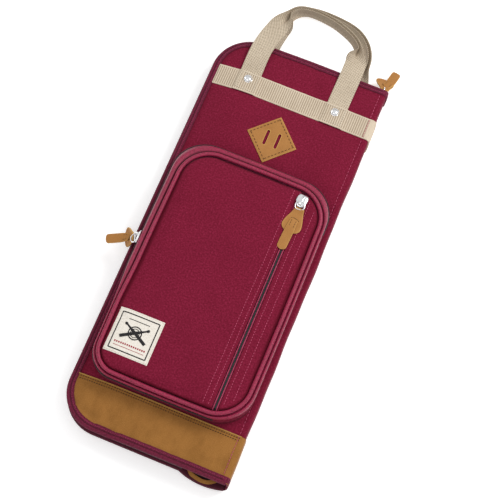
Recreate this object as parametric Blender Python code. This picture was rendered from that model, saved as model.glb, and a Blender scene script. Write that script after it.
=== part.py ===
"""Drum stick bag: two padded halves on a spine, a front pocket with a lid, two handles and three zips.

The bag lies on its back. +Y points to the handles, +X to the spine and +Z out of the front.
The origin is the middle of the back panel's outer face.
Lengths are metres, written as millimetres times MM.
"""
import math

import bmesh
import bpy
from mathutils import Matrix, Vector

MM = 0.001
GAP = 0.3 * MM  # clearance between pieces that touch on the real bag
SHARP_EDGE = 35  # degrees between faces

# How many sides and steps round shapes are made with
ROUND_SIDES = 16
PIPING_SIDES = 8
HOLE_SIDES = 10
WIRE_SIDES = 6
EYELET_STEPS = 12
LINK_STEPS = 3
GRIP_STEPS = 6

# The closed bag
LENGTH = 500 * MM
LEFT = -101 * MM
RIGHT = 101 * MM
THICKNESS = 38 * MM
CORNER_RADIUS = 45 * MM
CORNER_STEPS = 9
HALF_Y = LENGTH / 2

# The spine panel, and where both halves stop beside it
SPINE_THICKNESS = 2 * MM
SPINE_INNER = RIGHT - SPINE_THICKNESS
SPINE_LOW = 0.5 * MM
SPINE_HIGH = THICKNESS - SPINE_LOW
PANEL_RIGHT = SPINE_INNER - GAP

# Layers of one padded half, from its outer face inwards
CANVAS = 2 * MM
FOAM = 3 * MM - GAP
LINING = 0.7 * MM
PANEL_DEPTH = 6 * MM
BINDING_WIDTH = 2.7 * MM
OVERLAY = 0.9 * MM  # suede or webbing let into the back
RECESS = OVERLAY + GAP
FRONT_OVERLAY = 1.1 * MM  # suede or webbing that stands on the front

# The main zip: two upright tapes that meet half way up the side wall
ZIP_LEVEL = THICKNESS / 2
TAPE_OUTER = 1.2 * MM
TAPE_INNER = 2.4 * MM
TEETH_OUTER = 0.7 * MM
TEETH_INNER = 3.0 * MM
TEETH_HEIGHT = 1.0 * MM
MAIN_ZIP_TOP_END = 95 * MM
MAIN_ZIP_BOTTOM_END = 50 * MM

# Suede base and webbing band
SUEDE_TOP = -197 * MM
BAND_LOW = 180 * MM
BAND_HIGH = 206 * MM
WEB_RIGHT = 97.5 * MM
WEB_LEFT = LEFT + BINDING_WIDTH + 3 * MM

# Handles, made of 25 mm webbing
STRAP_WIDTH = 25 * MM
STRAP_THICKNESS = 2 * MM
GRIP_WIDTH = 12.5 * MM
GRIP_THICKNESS = 5 * MM
LEG_LEFT = -55 * MM
LEG_RIGHT = 53 * MM
FOLD_RISE = 2.1 * MM  # the front handle folds about a line on top of its legs
GRIP_REACH = 307 * MM  # y of the front grip's middle line
BACK_GRIP_REACH = 320 * MM
GRIP_BEND = 26 * MM  # radius of the grip's two bends
GRIP_LEFT = LEG_LEFT + 8 * MM
GRIP_RIGHT = LEG_RIGHT + 4 * MM
FLAT_SHARE = 0.42  # part of the way to the grip over which the legs stay flat
RIVET_RADIUS = 5 * MM
RIVET_SKIRT = 0.6 * MM
RIVET_SHOULDER_RADIUS = 3.4 * MM
RIVET_SHOULDER = 1.8 * MM
RIVET_HEIGHT = 2.2 * MM
RIVET_Y = 197 * MM
SEWN_END_SHORT = 7.5 * MM  # how far the back handle's sewn ends stop short of the top edge

# The front pocket
POCKET_LEFT = -91 * MM
POCKET_RIGHT = 93 * MM
POCKET_BOTTOM = -194.5 * MM
POCKET_TOP = 96 * MM
POCKET_CORNER = 38 * MM
POCKET_STEPS = 7
POCKET_FACE = 68 * MM
POCKET_ZIP = 53 * MM
POCKET_WALL = 1.5 * MM
POCKET_ZIP_START = 45 * MM  # y on the right side where the zip begins
POCKET_ZIP_END = 62 * MM  # x on the bottom side where it ends
POCKET_ZIP_HALF = 1.4 * MM  # height of each half of the zip
PIPING_RADIUS = 2.75 * MM

# The quick zip on the pocket's face
QUICK_X = 59 * MM
QUICK_LOW = -188 * MM
QUICK_HIGH = 79 * MM
QUICK_HALF_SLOT = 3.7 * MM
POUCH_LEFT = 14 * MM
POUCH_RIGHT = 78 * MM
POUCH_LOW = -160 * MM
POUCH_HIGH = 62 * MM
POUCH_DEPTH = 7 * MM
POUCH_WALL = 1 * MM

# Leather lash patch
PATCH_X = -1.6 * MM
PATCH_Y = 136.3 * MM
PATCH_SIDE = 42.7 * MM
PATCH_THICKNESS = 2.6 * MM
SLOT_LENGTH = 17 * MM
SLOT_WIDTH = 2.5 * MM
SLOT_OFFSET = 6.5 * MM

# Woven label
LABEL_SIDE = 50.6 * MM
LABEL_X = -50.6 * MM
LABEL_Y = -145.4 * MM
LABEL_THICKNESS = 0.6 * MM

# Inside: the stick sleeve on the back half and the slip pocket on the front half
SLEEVE_LEFT = -90 * MM
SLEEVE_RIGHT = 90 * MM
SLEEVE_LOW = -227 * MM
SLEEVE_HIGH = 60 * MM
SLEEVE_HEIGHT = 16 * MM
SLEEVE_WALL = 1.2 * MM
SLEEVE_CHANNELS = 4
INNER_POCKET_DEPTH = 7 * MM
INNER_POCKET_SIDE = 82 * MM
INNER_POCKET_LOW = -205 * MM
INNER_POCKET_HIGH = -20 * MM
INNER_POCKET_WALL = 0.8 * MM

# Zip sliders and pulls
MAIN_SLIDER_X = 91.5 * MM
POCKET_SLIDER_Y = -36 * MM
QUICK_SLIDER_Y = 68 * MM
SLIDER_WIDTH = 12.5 * MM
SLIDER_LENGTH = 14 * MM
SLIDER_HEIGHT = 2.8 * MM
SHIELD_HALF = [(0.45, -1), (0.9, -0.2), (1, 0.45), (0.62, 1)]  # parts of half the width and half the length
EYELET_RADIUS = 2.0 * MM
EYELET_WIRE = 0.6 * MM
EYELET_SHIFT = -3.5 * MM
LINK_WIRE = 0.6 * MM
LINK_LENGTH = 6.5 * MM
LINK_BEND = 1.4 * MM
PULL_THICKNESS = 3.4 * MM
PULL_HALF_OUTLINE = [
    (4.0 * MM, 3.4 * MM), (8.5 * MM, 3.4 * MM), (14 * MM, 8.2 * MM), (23 * MM, 11 * MM),
    (28 * MM, 10.2 * MM), (32 * MM, 7.5 * MM), (34 * MM, 5.2 * MM), (54 * MM, 4.8 * MM),
    (56 * MM, 3.2 * MM),
]
MAIN_LINK_WIDTH = 8 * MM
POCKET_LINK_WIDTH = 11 * MM
QUICK_LINK_WIDTH = 9.2 * MM
# How far each link stands up from its zip, and how far its leather hangs from the link, in degrees
MAIN_LIFT, MAIN_DROOP = 76, 10
POCKET_LIFT, POCKET_DROOP = 88, 44

MATERIALS = {
    "canvas": ((0.20, 0.015, 0.035), 0.85, 0.0),
    "foam": ((0.10, 0.10, 0.11), 0.95, 0.0),
    "lining": ((0.06, 0.06, 0.07), 0.80, 0.0),
    "binding": ((0.13, 0.02, 0.04), 0.75, 0.0),
    "piping": ((0.38, 0.03, 0.09), 0.45, 0.0),
    "zip_tape": ((0.02, 0.02, 0.02), 0.80, 0.0),
    "zip_coil": ((0.015, 0.015, 0.015), 0.40, 0.0),
    "webbing": ((0.62, 0.52, 0.40), 0.85, 0.0),
    "suede": ((0.36, 0.19, 0.07), 0.90, 0.0),
    "leather": ((0.55, 0.28, 0.09), 0.50, 0.0),
    "label": ((0.85, 0.82, 0.76), 0.80, 0.0),
    "nickel": ((0.75, 0.75, 0.76), 0.20, 1.0),
}


# ---------------------------------------------------------------- tools

def clear_scene():
    """Remove every object of the open file."""
    for item in list(bpy.data.objects):
        bpy.data.objects.remove(item, do_unlink=True)


def make_materials():
    """One Principled material for each entry of MATERIALS."""
    made = {}
    for name, (colour, roughness, metallic) in MATERIALS.items():
        material = bpy.data.materials.new(name)
        material.use_nodes = True
        shader = material.node_tree.nodes["Principled BSDF"]
        shader.inputs["Base Color"].default_value = (*colour, 1.0)
        shader.inputs["Roughness"].default_value = roughness
        shader.inputs["Metallic"].default_value = metallic
        made[name] = material
    return made


def add_mesh(name, mesh_data, slot, pivot=(0, 0, 0)):
    """Turn a bmesh drawn in world space into an object whose origin is at pivot."""
    bmesh.ops.recalc_face_normals(mesh_data, faces=mesh_data.faces)
    bmesh.ops.translate(mesh_data, verts=mesh_data.verts, vec=-Vector(pivot))
    mesh = bpy.data.meshes.new(name)
    mesh_data.to_mesh(mesh)
    mesh_data.free()
    mesh.shade_smooth()
    mesh.set_sharp_from_angle(angle=math.radians(SHARP_EDGE))
    item = bpy.data.objects.new(name, mesh)
    item.location = pivot
    bpy.context.scene.collection.objects.link(item)
    material = bpy.data.materials[slot].copy()
    material.name = name + "_" + slot
    mesh.materials.append(material)
    return item


def add_box(mesh_data, low, high):
    """Add a box between two corners to a bmesh."""
    low, high = Vector(low), Vector(high)
    size = Matrix.Diagonal((*(high - low), 1.0))
    bmesh.ops.create_cube(mesh_data, size=1.0, matrix=Matrix.Translation((low + high) / 2) @ size)


def box(name, low, high, slot):
    """A rectangular piece between two corners."""
    mesh_data = bmesh.new()
    add_box(mesh_data, low, high)
    return add_mesh(name, mesh_data, slot)


def prism(outline, z_low, z_high, place=Matrix.Identity(4)):
    """A bmesh of an outline in XY raised from z_low to z_high, then put in place."""
    mesh_data = bmesh.new()
    lower = [mesh_data.verts.new(place @ Vector((x, y, z_low))) for x, y in outline]
    upper = [mesh_data.verts.new(place @ Vector((x, y, z_high))) for x, y in outline]
    mesh_data.faces.new(lower)
    mesh_data.faces.new(upper)
    for index in range(len(outline)):
        after = (index + 1) % len(outline)
        mesh_data.faces.new((lower[index], lower[after], upper[after], upper[index]))
    return mesh_data


def strip(outer, inner, z_low, z_high, closed):
    """A bmesh of an upright strip between two plan paths with the same number of points."""
    mesh_data = bmesh.new()
    rows = []
    for (outer_x, outer_y), (inner_x, inner_y) in zip(outer, inner):
        corners = (
            (outer_x, outer_y, z_low), (outer_x, outer_y, z_high),
            (inner_x, inner_y, z_high), (inner_x, inner_y, z_low),
        )
        rows.append([mesh_data.verts.new(corner) for corner in corners])
    bridge_rows(mesh_data, rows, closed)
    return mesh_data


def bridge_rows(mesh_data, rows, closed):
    """Join rings of vertices into a tube, and cap its ends when it isn't closed."""
    count = len(rows[0])
    pairs = list(zip(rows, rows[1:]))
    if closed:
        pairs.append((rows[-1], rows[0]))
    for first, second in pairs:
        for index in range(count):
            after = (index + 1) % count
            mesh_data.faces.new((first[index], first[after], second[after], second[index]))
    if not closed:
        mesh_data.faces.new(rows[0])
        mesh_data.faces.new(rows[-1])


def loop_tube(mesh_data, points, normal, radius, sides):
    """Add a round wire bent into a closed flat loop."""
    rows = []
    count = len(points)
    for index, point in enumerate(points):
        tangent = (points[(index + 1) % count] - points[index - 1]).normalized()
        side = normal.cross(tangent)
        row = []
        for step in range(sides):
            angle = math.tau * step / sides
            outward = math.cos(angle) * side + math.sin(angle) * normal
            row.append(mesh_data.verts.new(point + radius * outward))
        rows.append(row)
    bridge_rows(mesh_data, rows, closed=True)


def turned(profile, centre, sides):
    """A bmesh of a round piece about +Z: profile runs from the axis below to the axis above."""
    mesh_data = bmesh.new()
    centre = Vector(centre)
    bottom = mesh_data.verts.new(centre + Vector((0, 0, profile[0][1])))
    top = mesh_data.verts.new(centre + Vector((0, 0, profile[-1][1])))
    rows = []
    for radius, height in profile[1:-1]:
        row = []
        for step in range(sides):
            angle = math.tau * step / sides
            offset = Vector((radius * math.cos(angle), radius * math.sin(angle), height))
            row.append(mesh_data.verts.new(centre + offset))
        rows.append(row)
    for first, second in zip(rows, rows[1:]):
        for index in range(sides):
            after = (index + 1) % sides
            mesh_data.faces.new((first[index], first[after], second[after], second[index]))
    for index in range(sides):
        after = (index + 1) % sides
        mesh_data.faces.new((bottom, rows[0][after], rows[0][index]))
        mesh_data.faces.new((top, rows[-1][index], rows[-1][after]))
    return mesh_data


def cutter(name, mesh_data):
    """A hidden solid for a Boolean."""
    bmesh.ops.recalc_face_normals(mesh_data, faces=mesh_data.faces)
    mesh = bpy.data.meshes.new(name)
    mesh_data.to_mesh(mesh)
    mesh_data.free()
    item = bpy.data.objects.new(name, mesh)
    item.hide_render = True
    item.display_type = "WIRE"
    bpy.context.scene.collection.objects.link(item)
    return item


def combine(target, mesh_data, operation):
    """Cut a solid out of target, or join it on."""
    modifier = target.modifiers.new(operation.lower(), "BOOLEAN")
    modifier.operation = operation
    modifier.solver = "EXACT"
    modifier.object = cutter(target.name + "_" + operation.lower(), mesh_data)


def arc(centre_x, centre_y, radius, start_degrees, steps):
    """Points of a quarter circle that turns anticlockwise from start_degrees."""
    points = []
    for step in range(steps + 1):
        angle = math.radians(start_degrees + 90 * step / steps)
        points.append((centre_x + radius * math.cos(angle), centre_y + radius * math.sin(angle)))
    return points


def edge_path(inset, top_end=PANEL_RIGHT, bottom_end=PANEL_RIGHT):
    """The bag's plan edge from the spine over the top, down the left side and back along the bottom."""
    radius = CORNER_RADIUS - inset
    centre_x = LEFT + CORNER_RADIUS
    centre_y = HALF_Y - CORNER_RADIUS
    points = [(top_end, HALF_Y - inset)]
    points += arc(centre_x, centre_y, radius, 90, CORNER_STEPS)
    points += arc(centre_x, -centre_y, radius, 180, CORNER_STEPS)
    points.append((bottom_end, inset - HALF_Y))
    return points


def pocket_corners(inset):
    """The pocket's four corner arcs, anticlockwise from the top right."""
    radius = POCKET_CORNER - inset
    right, left = POCKET_RIGHT - POCKET_CORNER, POCKET_LEFT + POCKET_CORNER
    top, bottom = POCKET_TOP - POCKET_CORNER, POCKET_BOTTOM + POCKET_CORNER
    centres = ((right, top), (left, top), (left, bottom), (right, bottom))
    return [arc(x, y, radius, 90 * index, POCKET_STEPS) for index, (x, y) in enumerate(centres)]


def pocket_outline(inset):
    """The pocket's closed plan outline."""
    return [point for corner in pocket_corners(inset) for point in corner]


def pocket_zip_path(inset):
    """The pocket zip's open path: up the right side, over the top, down the left and along the bottom."""
    corners = pocket_corners(inset)
    middle = [point for corner in corners[:3] for point in corner]
    return [(POCKET_RIGHT - inset, POCKET_ZIP_START)] + middle + [(POCKET_ZIP_END, POCKET_BOTTOM + inset)]


def clip_above(outline, limit):
    """The part of a convex outline below y = limit."""
    kept = []
    for index, (x, y) in enumerate(outline):
        before_x, before_y = outline[index - 1]
        if (y < limit) != (before_y < limit):
            share = (limit - before_y) / (y - before_y)
            kept.append((before_x + share * (x - before_x), limit))
        if y < limit:
            kept.append((x, y))
    return kept


# ---------------------------------------------------------------- the two halves

def base_outline():
    """Plan outline of the suede base, inside the binding."""
    outline = edge_path(BINDING_WIDTH + GAP, WEB_RIGHT, WEB_RIGHT)
    return clip_above(outline, SUEDE_TOP)


def back_band_outline():
    """Plan outline of the back webbing: a band across the bag with the two sewn ends of the handle."""
    leg_top = HALF_Y - SEWN_END_SHORT
    half = STRAP_WIDTH / 2
    points = [(WEB_RIGHT, BAND_LOW), (WEB_RIGHT, BAND_HIGH)]
    for middle in (LEG_RIGHT, LEG_LEFT):
        points += [(middle + half, BAND_HIGH), (middle + half, leg_top)]
        points += [(middle - half, leg_top), (middle - half, BAND_HIGH)]
    return points + [(WEB_LEFT, BAND_HIGH), (WEB_LEFT, BAND_LOW)]


def grown(outline, margin):
    """A convex or stepped outline pushed outwards by margin at each corner."""
    points = []
    for index, (x, y) in enumerate(outline):
        before = Vector(outline[index - 1])
        after = Vector(outline[(index + 1) % len(outline)])
        here = Vector((x, y))
        first, second = (here - before).normalized(), (after - here).normalized()
        out_first = Vector((first.y, -first.x))
        out_second = Vector((second.y, -second.x))
        middle = out_first + out_second
        points.append(tuple(here + middle * (margin / (1 + out_first.dot(out_second)))))
    return points


def make_back_half():
    """Padded back panel with its suede and webbing let in flush, so the bag lies flat."""
    inside = edge_path(BINDING_WIDTH + GAP)
    cover = add_mesh("back_cover", prism(inside, 0, CANVAS), "canvas")
    base, band = base_outline(), back_band_outline()
    below = -RECESS
    combine(cover, prism(grown(base, GAP), below, RECESS), "DIFFERENCE")
    combine(cover, prism(grown(band, GAP), below, RECESS), "DIFFERENCE")
    add_mesh("back_suede", prism(base, 0, OVERLAY), "suede")
    webbing = add_mesh("back_webbing", prism(band, 0, OVERLAY), "webbing")
    for name, x in (("rivet_back_left", LEG_LEFT), ("rivet_back_right", LEG_RIGHT)):
        centre = (x, RIVET_Y, 0)
        hole = RIVET_RADIUS + GAP
        bore = [(0, below), (hole, below), (hole, RECESS), (0, RECESS)]
        combine(webbing, turned(bore, centre, ROUND_SIDES), "DIFFERENCE")
        cap = [(0, 0), (RIVET_RADIUS, 0), (RIVET_RADIUS, OVERLAY), (0, OVERLAY)]
        add_mesh(name, turned(cap, centre, ROUND_SIDES), "nickel")
    add_mesh("back_foam", prism(inside, CANVAS + GAP, CANVAS + GAP + FOAM), "foam")
    add_mesh("back_lining", prism(inside, PANEL_DEPTH - LINING, PANEL_DEPTH), "lining")
    binding = strip(edge_path(0), edge_path(BINDING_WIDTH), 0, PANEL_DEPTH, closed=False)
    add_mesh("back_binding", binding, "binding")
    teeth_low = ZIP_LEVEL - TEETH_HEIGHT
    make_main_zip("back", PANEL_DEPTH + GAP, teeth_low - 2 * GAP, teeth_low - GAP / 2)


def make_main_zip(side, tape_low, tape_high, teeth_low):
    """One tape of the main zip, standing on its half, with its row of teeth."""
    ends = (MAIN_ZIP_TOP_END, MAIN_ZIP_BOTTOM_END)
    outer, inner = edge_path(TAPE_OUTER, *ends), edge_path(TAPE_INNER, *ends)
    add_mesh(side + "_zip_tape", strip(outer, inner, tape_low, tape_high, closed=False), "zip_tape")
    outer, inner = edge_path(TEETH_OUTER, *ends), edge_path(TEETH_INNER, *ends)
    teeth = strip(outer, inner, teeth_low, teeth_low + TEETH_HEIGHT, closed=False)
    add_mesh(side + "_zip_teeth", teeth, "zip_coil")


def make_front_half():
    """Padded front panel with the suede base and the webbing band standing on it."""
    inside = edge_path(BINDING_WIDTH + GAP)
    top = THICKNESS
    add_mesh("front_cover", prism(inside, top - CANVAS, top), "canvas")
    add_mesh("front_foam", prism(inside, top - CANVAS - GAP - FOAM, top - CANVAS - GAP), "foam")
    add_mesh("front_lining", prism(inside, top - PANEL_DEPTH, top - PANEL_DEPTH + LINING), "lining")
    binding = strip(edge_path(0), edge_path(BINDING_WIDTH), top - PANEL_DEPTH, top, closed=False)
    add_mesh("front_binding", binding, "binding")
    tape_low = ZIP_LEVEL + TEETH_HEIGHT + 2 * GAP
    make_main_zip("front", tape_low, top - PANEL_DEPTH - GAP, ZIP_LEVEL + GAP / 2)
    overlay = top + GAP
    add_mesh("front_suede", prism(base_outline(), overlay, overlay + FRONT_OVERLAY), "suede")
    corner_low = (WEB_LEFT, BAND_LOW, overlay)
    corner_high = (WEB_RIGHT, BAND_HIGH, overlay + FRONT_OVERLAY)
    box("front_webbing", corner_low, corner_high, "webbing")
    cap_base = overlay + FRONT_OVERLAY + GAP
    cap = [
        (0, 0), (RIVET_RADIUS, 0), (RIVET_RADIUS, RIVET_SKIRT),
        (RIVET_SHOULDER_RADIUS, RIVET_SHOULDER), (0, RIVET_HEIGHT),
    ]
    for name, x in (("rivet_front_left", LEG_LEFT), ("rivet_front_right", LEG_RIGHT)):
        add_mesh(name, turned(cap, (x, RIVET_Y, cap_base), ROUND_SIDES), "nickel")
    make_lash_patch()


def make_lash_patch():
    """Square leather patch set on its corner, with two slots for a cord."""
    half = PATCH_SIDE / 2
    square = [(-half, -half), (half, -half), (half, half), (-half, half)]
    turn = Matrix.Translation((PATCH_X, PATCH_Y, 0)) @ Matrix.Rotation(math.radians(45), 4, "Z")
    low = THICKNESS + GAP
    patch = add_mesh("lash_patch", prism(square, low, low + PATCH_THICKNESS, turn), "leather")
    slots = bmesh.new()
    for side in (-1, 1):
        x = PATCH_X + side * SLOT_OFFSET
        low_corner = (x - SLOT_WIDTH / 2, PATCH_Y - SLOT_LENGTH / 2, THICKNESS)
        high_corner = (x + SLOT_WIDTH / 2, PATCH_Y + SLOT_LENGTH / 2, low + 2 * PATCH_THICKNESS)
        add_box(slots, low_corner, high_corner)
    combine(patch, slots, "DIFFERENCE")


def make_spine():
    """Spine panel that joins the halves, with the suede, the band and the bindings that wrap it."""
    end = HALF_Y - BINDING_WIDTH
    box("spine_cover", (SPINE_INNER, GAP - end, SPINE_LOW), (RIGHT, end - GAP, SPINE_HIGH), "canvas")
    outside = RIGHT + GAP
    for name, low, high, slot in (
        ("spine_suede", GAP - end, SUEDE_TOP, "suede"),
        ("spine_webbing", BAND_LOW, BAND_HIGH, "webbing"),
    ):
        box(name, (outside, low, SPINE_LOW), (outside + FRONT_OVERLAY, high, SPINE_HIGH), slot)
    for name, low, high in (("spine_binding_top", end, HALF_Y), ("spine_binding_bottom", -HALF_Y, -end)):
        box(name, (SPINE_INNER, low, SPINE_LOW), (RIGHT, high, SPINE_HIGH), "binding")


# ---------------------------------------------------------------- inside

def make_stick_sleeve():
    """Divided sleeve on the back lining: four flat channels for sticks, open towards the handles."""
    low, high = PANEL_DEPTH + GAP, PANEL_DEPTH + GAP + SLEEVE_HEIGHT
    sleeve = box("stick_sleeve", (SLEEVE_LEFT, SLEEVE_LOW, low), (SLEEVE_RIGHT, SLEEVE_HIGH, high), "lining")
    channels = bmesh.new()
    pitch = (SLEEVE_RIGHT - SLEEVE_LEFT - SLEEVE_WALL) / SLEEVE_CHANNELS
    for index in range(SLEEVE_CHANNELS):
        left = SLEEVE_LEFT + SLEEVE_WALL + index * pitch
        corner_low = (left, SLEEVE_LOW + SLEEVE_WALL, low + SLEEVE_WALL)
        corner_high = (left + pitch - SLEEVE_WALL, SLEEVE_HIGH + SLEEVE_WALL, high - SLEEVE_WALL)
        add_box(channels, corner_low, corner_high)
    combine(sleeve, channels, "DIFFERENCE")


def make_inner_pocket():
    """Slip pocket on the front lining, open towards the handles."""
    high = THICKNESS - PANEL_DEPTH - GAP
    low = high - INNER_POCKET_DEPTH
    side, wall = INNER_POCKET_SIDE, INNER_POCKET_WALL
    corner_low, corner_high = (-side, INNER_POCKET_LOW, low), (side, INNER_POCKET_HIGH, high)
    pocket = box("inner_pocket", corner_low, corner_high, "lining")
    hollow = bmesh.new()
    corner_low = (wall - side, INNER_POCKET_LOW + wall, low + wall)
    corner_high = (side - wall, INNER_POCKET_HIGH + wall, high - wall)
    add_box(hollow, corner_low, corner_high)
    combine(pocket, hollow, "DIFFERENCE")


# ---------------------------------------------------------------- front pocket

def make_pocket():
    """Pocket on the front: a sewn rear wall, and a lid that opens like a book on its right side."""
    base = THICKNESS + GAP
    rear_top = POCKET_ZIP - POCKET_ZIP_HALF
    outer, inner = pocket_outline(0), pocket_outline(POCKET_WALL)
    rear = strip(outer, inner, base, rear_top - GAP, closed=True)
    add_mesh("pocket_rear_gusset", rear, "canvas")
    zip_outer, zip_inner = pocket_zip_path(0), pocket_zip_path(POCKET_WALL)
    rear_zip = strip(zip_outer, zip_inner, rear_top, POCKET_ZIP - GAP / 2, closed=False)
    add_mesh("pocket_rear_zip", rear_zip, "zip_coil")
    pivot = (POCKET_RIGHT, 0, POCKET_ZIP)
    front_low = POCKET_ZIP + POCKET_ZIP_HALF
    front_zip = strip(zip_outer, zip_inner, POCKET_ZIP + GAP / 2, front_low, closed=False)
    add_mesh("pocket_front_zip", front_zip, "zip_coil", pivot)
    piping_level = POCKET_FACE - PIPING_RADIUS
    front = strip(outer, inner, front_low + GAP, piping_level - PIPING_RADIUS - GAP, closed=True)
    add_mesh("pocket_front_gusset", front, "canvas", pivot)
    piping = bmesh.new()
    path = [Vector((x, y, piping_level)) for x, y in pocket_outline(PIPING_RADIUS)]
    loop_tube(piping, path, Vector((0, 0, 1)), PIPING_RADIUS, PIPING_SIDES)
    add_mesh("pocket_piping", piping, "piping", pivot)
    make_pocket_panel(pivot)


def make_pocket_panel(pivot):
    """The lid's face with its quick zip, the flat pouch behind that zip, and the woven label."""
    low = POCKET_FACE - CANVAS
    face = prism(pocket_outline(2 * PIPING_RADIUS + GAP), low, POCKET_FACE)
    panel = add_mesh("pocket_panel", face, "canvas", pivot)
    slot = bmesh.new()
    corner_low = (QUICK_X - QUICK_HALF_SLOT, QUICK_LOW, low - CANVAS)
    corner_high = (QUICK_X + QUICK_HALF_SLOT, QUICK_HIGH, POCKET_FACE + CANVAS)
    add_box(slot, corner_low, corner_high)
    combine(panel, slot, "DIFFERENCE")
    for name, side in (("quick_zip_left", -1), ("quick_zip_right", 1)):
        across = sorted((QUICK_X + side * GAP / 2, QUICK_X + side * (QUICK_HALF_SLOT - GAP)))
        half = bmesh.new()
        add_box(half, (across[0], QUICK_LOW + GAP, low), (across[1], QUICK_HIGH - GAP, POCKET_FACE))
        add_mesh(name, half, "zip_coil", pivot)
    make_quick_pouch(low - GAP, pivot)
    label = bmesh.new()
    half = LABEL_SIDE / 2
    label_low = POCKET_FACE + GAP
    low_corner = (LABEL_X - half, LABEL_Y - half, label_low)
    high_corner = (LABEL_X + half, LABEL_Y + half, label_low + LABEL_THICKNESS)
    add_box(label, low_corner, high_corner)
    add_mesh("woven_label", label, "label", pivot)


def make_quick_pouch(high, pivot):
    """Flat tray of lining behind the quick zip."""
    low, wall = high - POUCH_DEPTH, POUCH_WALL
    tray = bmesh.new()
    add_box(tray, (POUCH_LEFT, POUCH_LOW, low), (POUCH_RIGHT, POUCH_HIGH, high))
    pouch = add_mesh("quick_pouch", tray, "lining", pivot)
    hollow = bmesh.new()
    corner_low = (POUCH_LEFT + wall, POUCH_LOW + wall, low + wall)
    corner_high = (POUCH_RIGHT - wall, POUCH_HIGH - wall, high + wall)
    add_box(hollow, corner_low, corner_high)
    combine(pouch, hollow, "DIFFERENCE")


# ---------------------------------------------------------------- handles

def handle_path(root_y, reach, leg_z, grip_z):
    """A handle's middle line, up one leg, round the grip and down the other, with width and thickness."""
    leg_end = root_y + FLAT_SHARE * (reach - root_y)
    centre_y = reach - GRIP_BEND
    left_arc = arc(GRIP_LEFT + GRIP_BEND, centre_y, GRIP_BEND, 90, GRIP_STEPS)[::-1]
    right_arc = arc(GRIP_RIGHT - GRIP_BEND, centre_y, GRIP_BEND, 0, GRIP_STEPS)[::-1]
    strap = (STRAP_WIDTH, STRAP_THICKNESS)
    path = [(LEG_LEFT, root_y, leg_z, *strap), (LEG_LEFT, leg_end, leg_z, *strap)]
    path += [(x, y, grip_z, GRIP_WIDTH, GRIP_THICKNESS) for x, y in left_arc + right_arc]
    path += [(LEG_RIGHT, leg_end, leg_z, *strap), (LEG_RIGHT, root_y, leg_z, *strap)]
    return path


def make_handle(name, path, pivot):
    """Webbing handle: flat legs and a folded grip, swept along its path in plan."""
    mesh_data = bmesh.new()
    rows = []
    last = len(path) - 1
    for index, (x, y, z, width, thickness) in enumerate(path):
        before, after = path[max(index - 1, 0)], path[min(index + 1, last)]
        tangent = Vector((after[0] - before[0], after[1] - before[1], 0)).normalized()
        if index in (0, 1):
            tangent = Vector((0, 1, 0))
        if index in (last - 1, last):
            tangent = Vector((0, -1, 0))
        side = Vector((tangent.y, -tangent.x, 0)) * (width / 2)
        base = Vector((x, y, z))
        rise = Vector((0, 0, thickness))
        corners = (base - side, base + side, base + side + rise, base - side + rise)
        rows.append([mesh_data.verts.new(corner) for corner in corners])
    bridge_rows(mesh_data, rows, closed=False)
    return add_mesh(name, mesh_data, "webbing", pivot)


def make_handles():
    """The front handle lies over the top edge, the back one on the ground behind it."""
    low = THICKNESS + GAP
    front = handle_path(BAND_HIGH + GAP, GRIP_REACH, low, low)
    make_handle("front_handle", front, (0, BAND_HIGH, low + FOLD_RISE))
    back = handle_path(HALF_Y + 2 * GAP, BACK_GRIP_REACH, 0, 0)
    make_handle("back_handle", back, (0, HALF_Y, STRAP_THICKNESS / 2))


# ---------------------------------------------------------------- zip sliders and pulls

def slider_frame(origin, across, outward):
    """Frame with X across the zip, Y along it and Z out of its face."""
    across, outward = Vector(across), Vector(outward)
    along = outward.cross(across)
    return Matrix.Translation(origin) @ Matrix((across, along, outward)).transposed().to_4x4()


def make_slider(name, frame):
    """Outer half of a zip slider: a shield-shaped cap with an eyelet."""
    half_w, half_l = SLIDER_WIDTH / 2, SLIDER_LENGTH / 2
    right_side = [(u * half_w, v * half_l) for u, v in SHIELD_HALF]
    shield = right_side + [(-x, y) for x, y in reversed(right_side)]
    slider = add_mesh(name, prism(shield, GAP, GAP + SLIDER_HEIGHT, frame), "nickel", frame.translation)
    eyelet = bmesh.new()
    centre = eyelet_centre()
    points = []
    for step in range(EYELET_STEPS):
        angle = math.tau * step / EYELET_STEPS
        points.append(centre + EYELET_RADIUS * Vector((0, math.cos(angle), math.sin(angle))))
    loop_tube(eyelet, points, Vector((1, 0, 0)), EYELET_WIRE, WIRE_SIDES)
    eyelet.transform(Matrix.Translation(-frame.translation) @ frame)
    joined = cutter(name + "_eyelet", eyelet)
    joined.location = frame.translation
    union = slider.modifiers.new("union", "BOOLEAN")
    union.operation = "UNION"
    union.solver = "EXACT"
    union.object = joined


def eyelet_centre():
    """Middle of the eyelet's hole in the slider's frame: the pull turns about it."""
    return Vector((0, EYELET_SHIFT, GAP + SLIDER_HEIGHT + EYELET_RADIUS - EYELET_WIRE / 2))


def link_loop(centre, hinge, heading, width):
    """Rounded rectangle of the link's wire, from the eyelet's middle to LINK_LENGTH along heading."""
    half = width / 2
    points = []
    for x, u, start in ((half, LINK_LENGTH, 0), (-half, LINK_LENGTH, 90), (-half, 0, 180), (half, 0, 270)):
        middle_x = x - math.copysign(LINK_BEND, x)
        middle_u = u - LINK_BEND if u else LINK_BEND
        bend = arc(middle_x, middle_u, LINK_BEND, start, LINK_STEPS)
        points += [centre + across * hinge + ahead * heading for across, ahead in bend]
    return points


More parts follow.
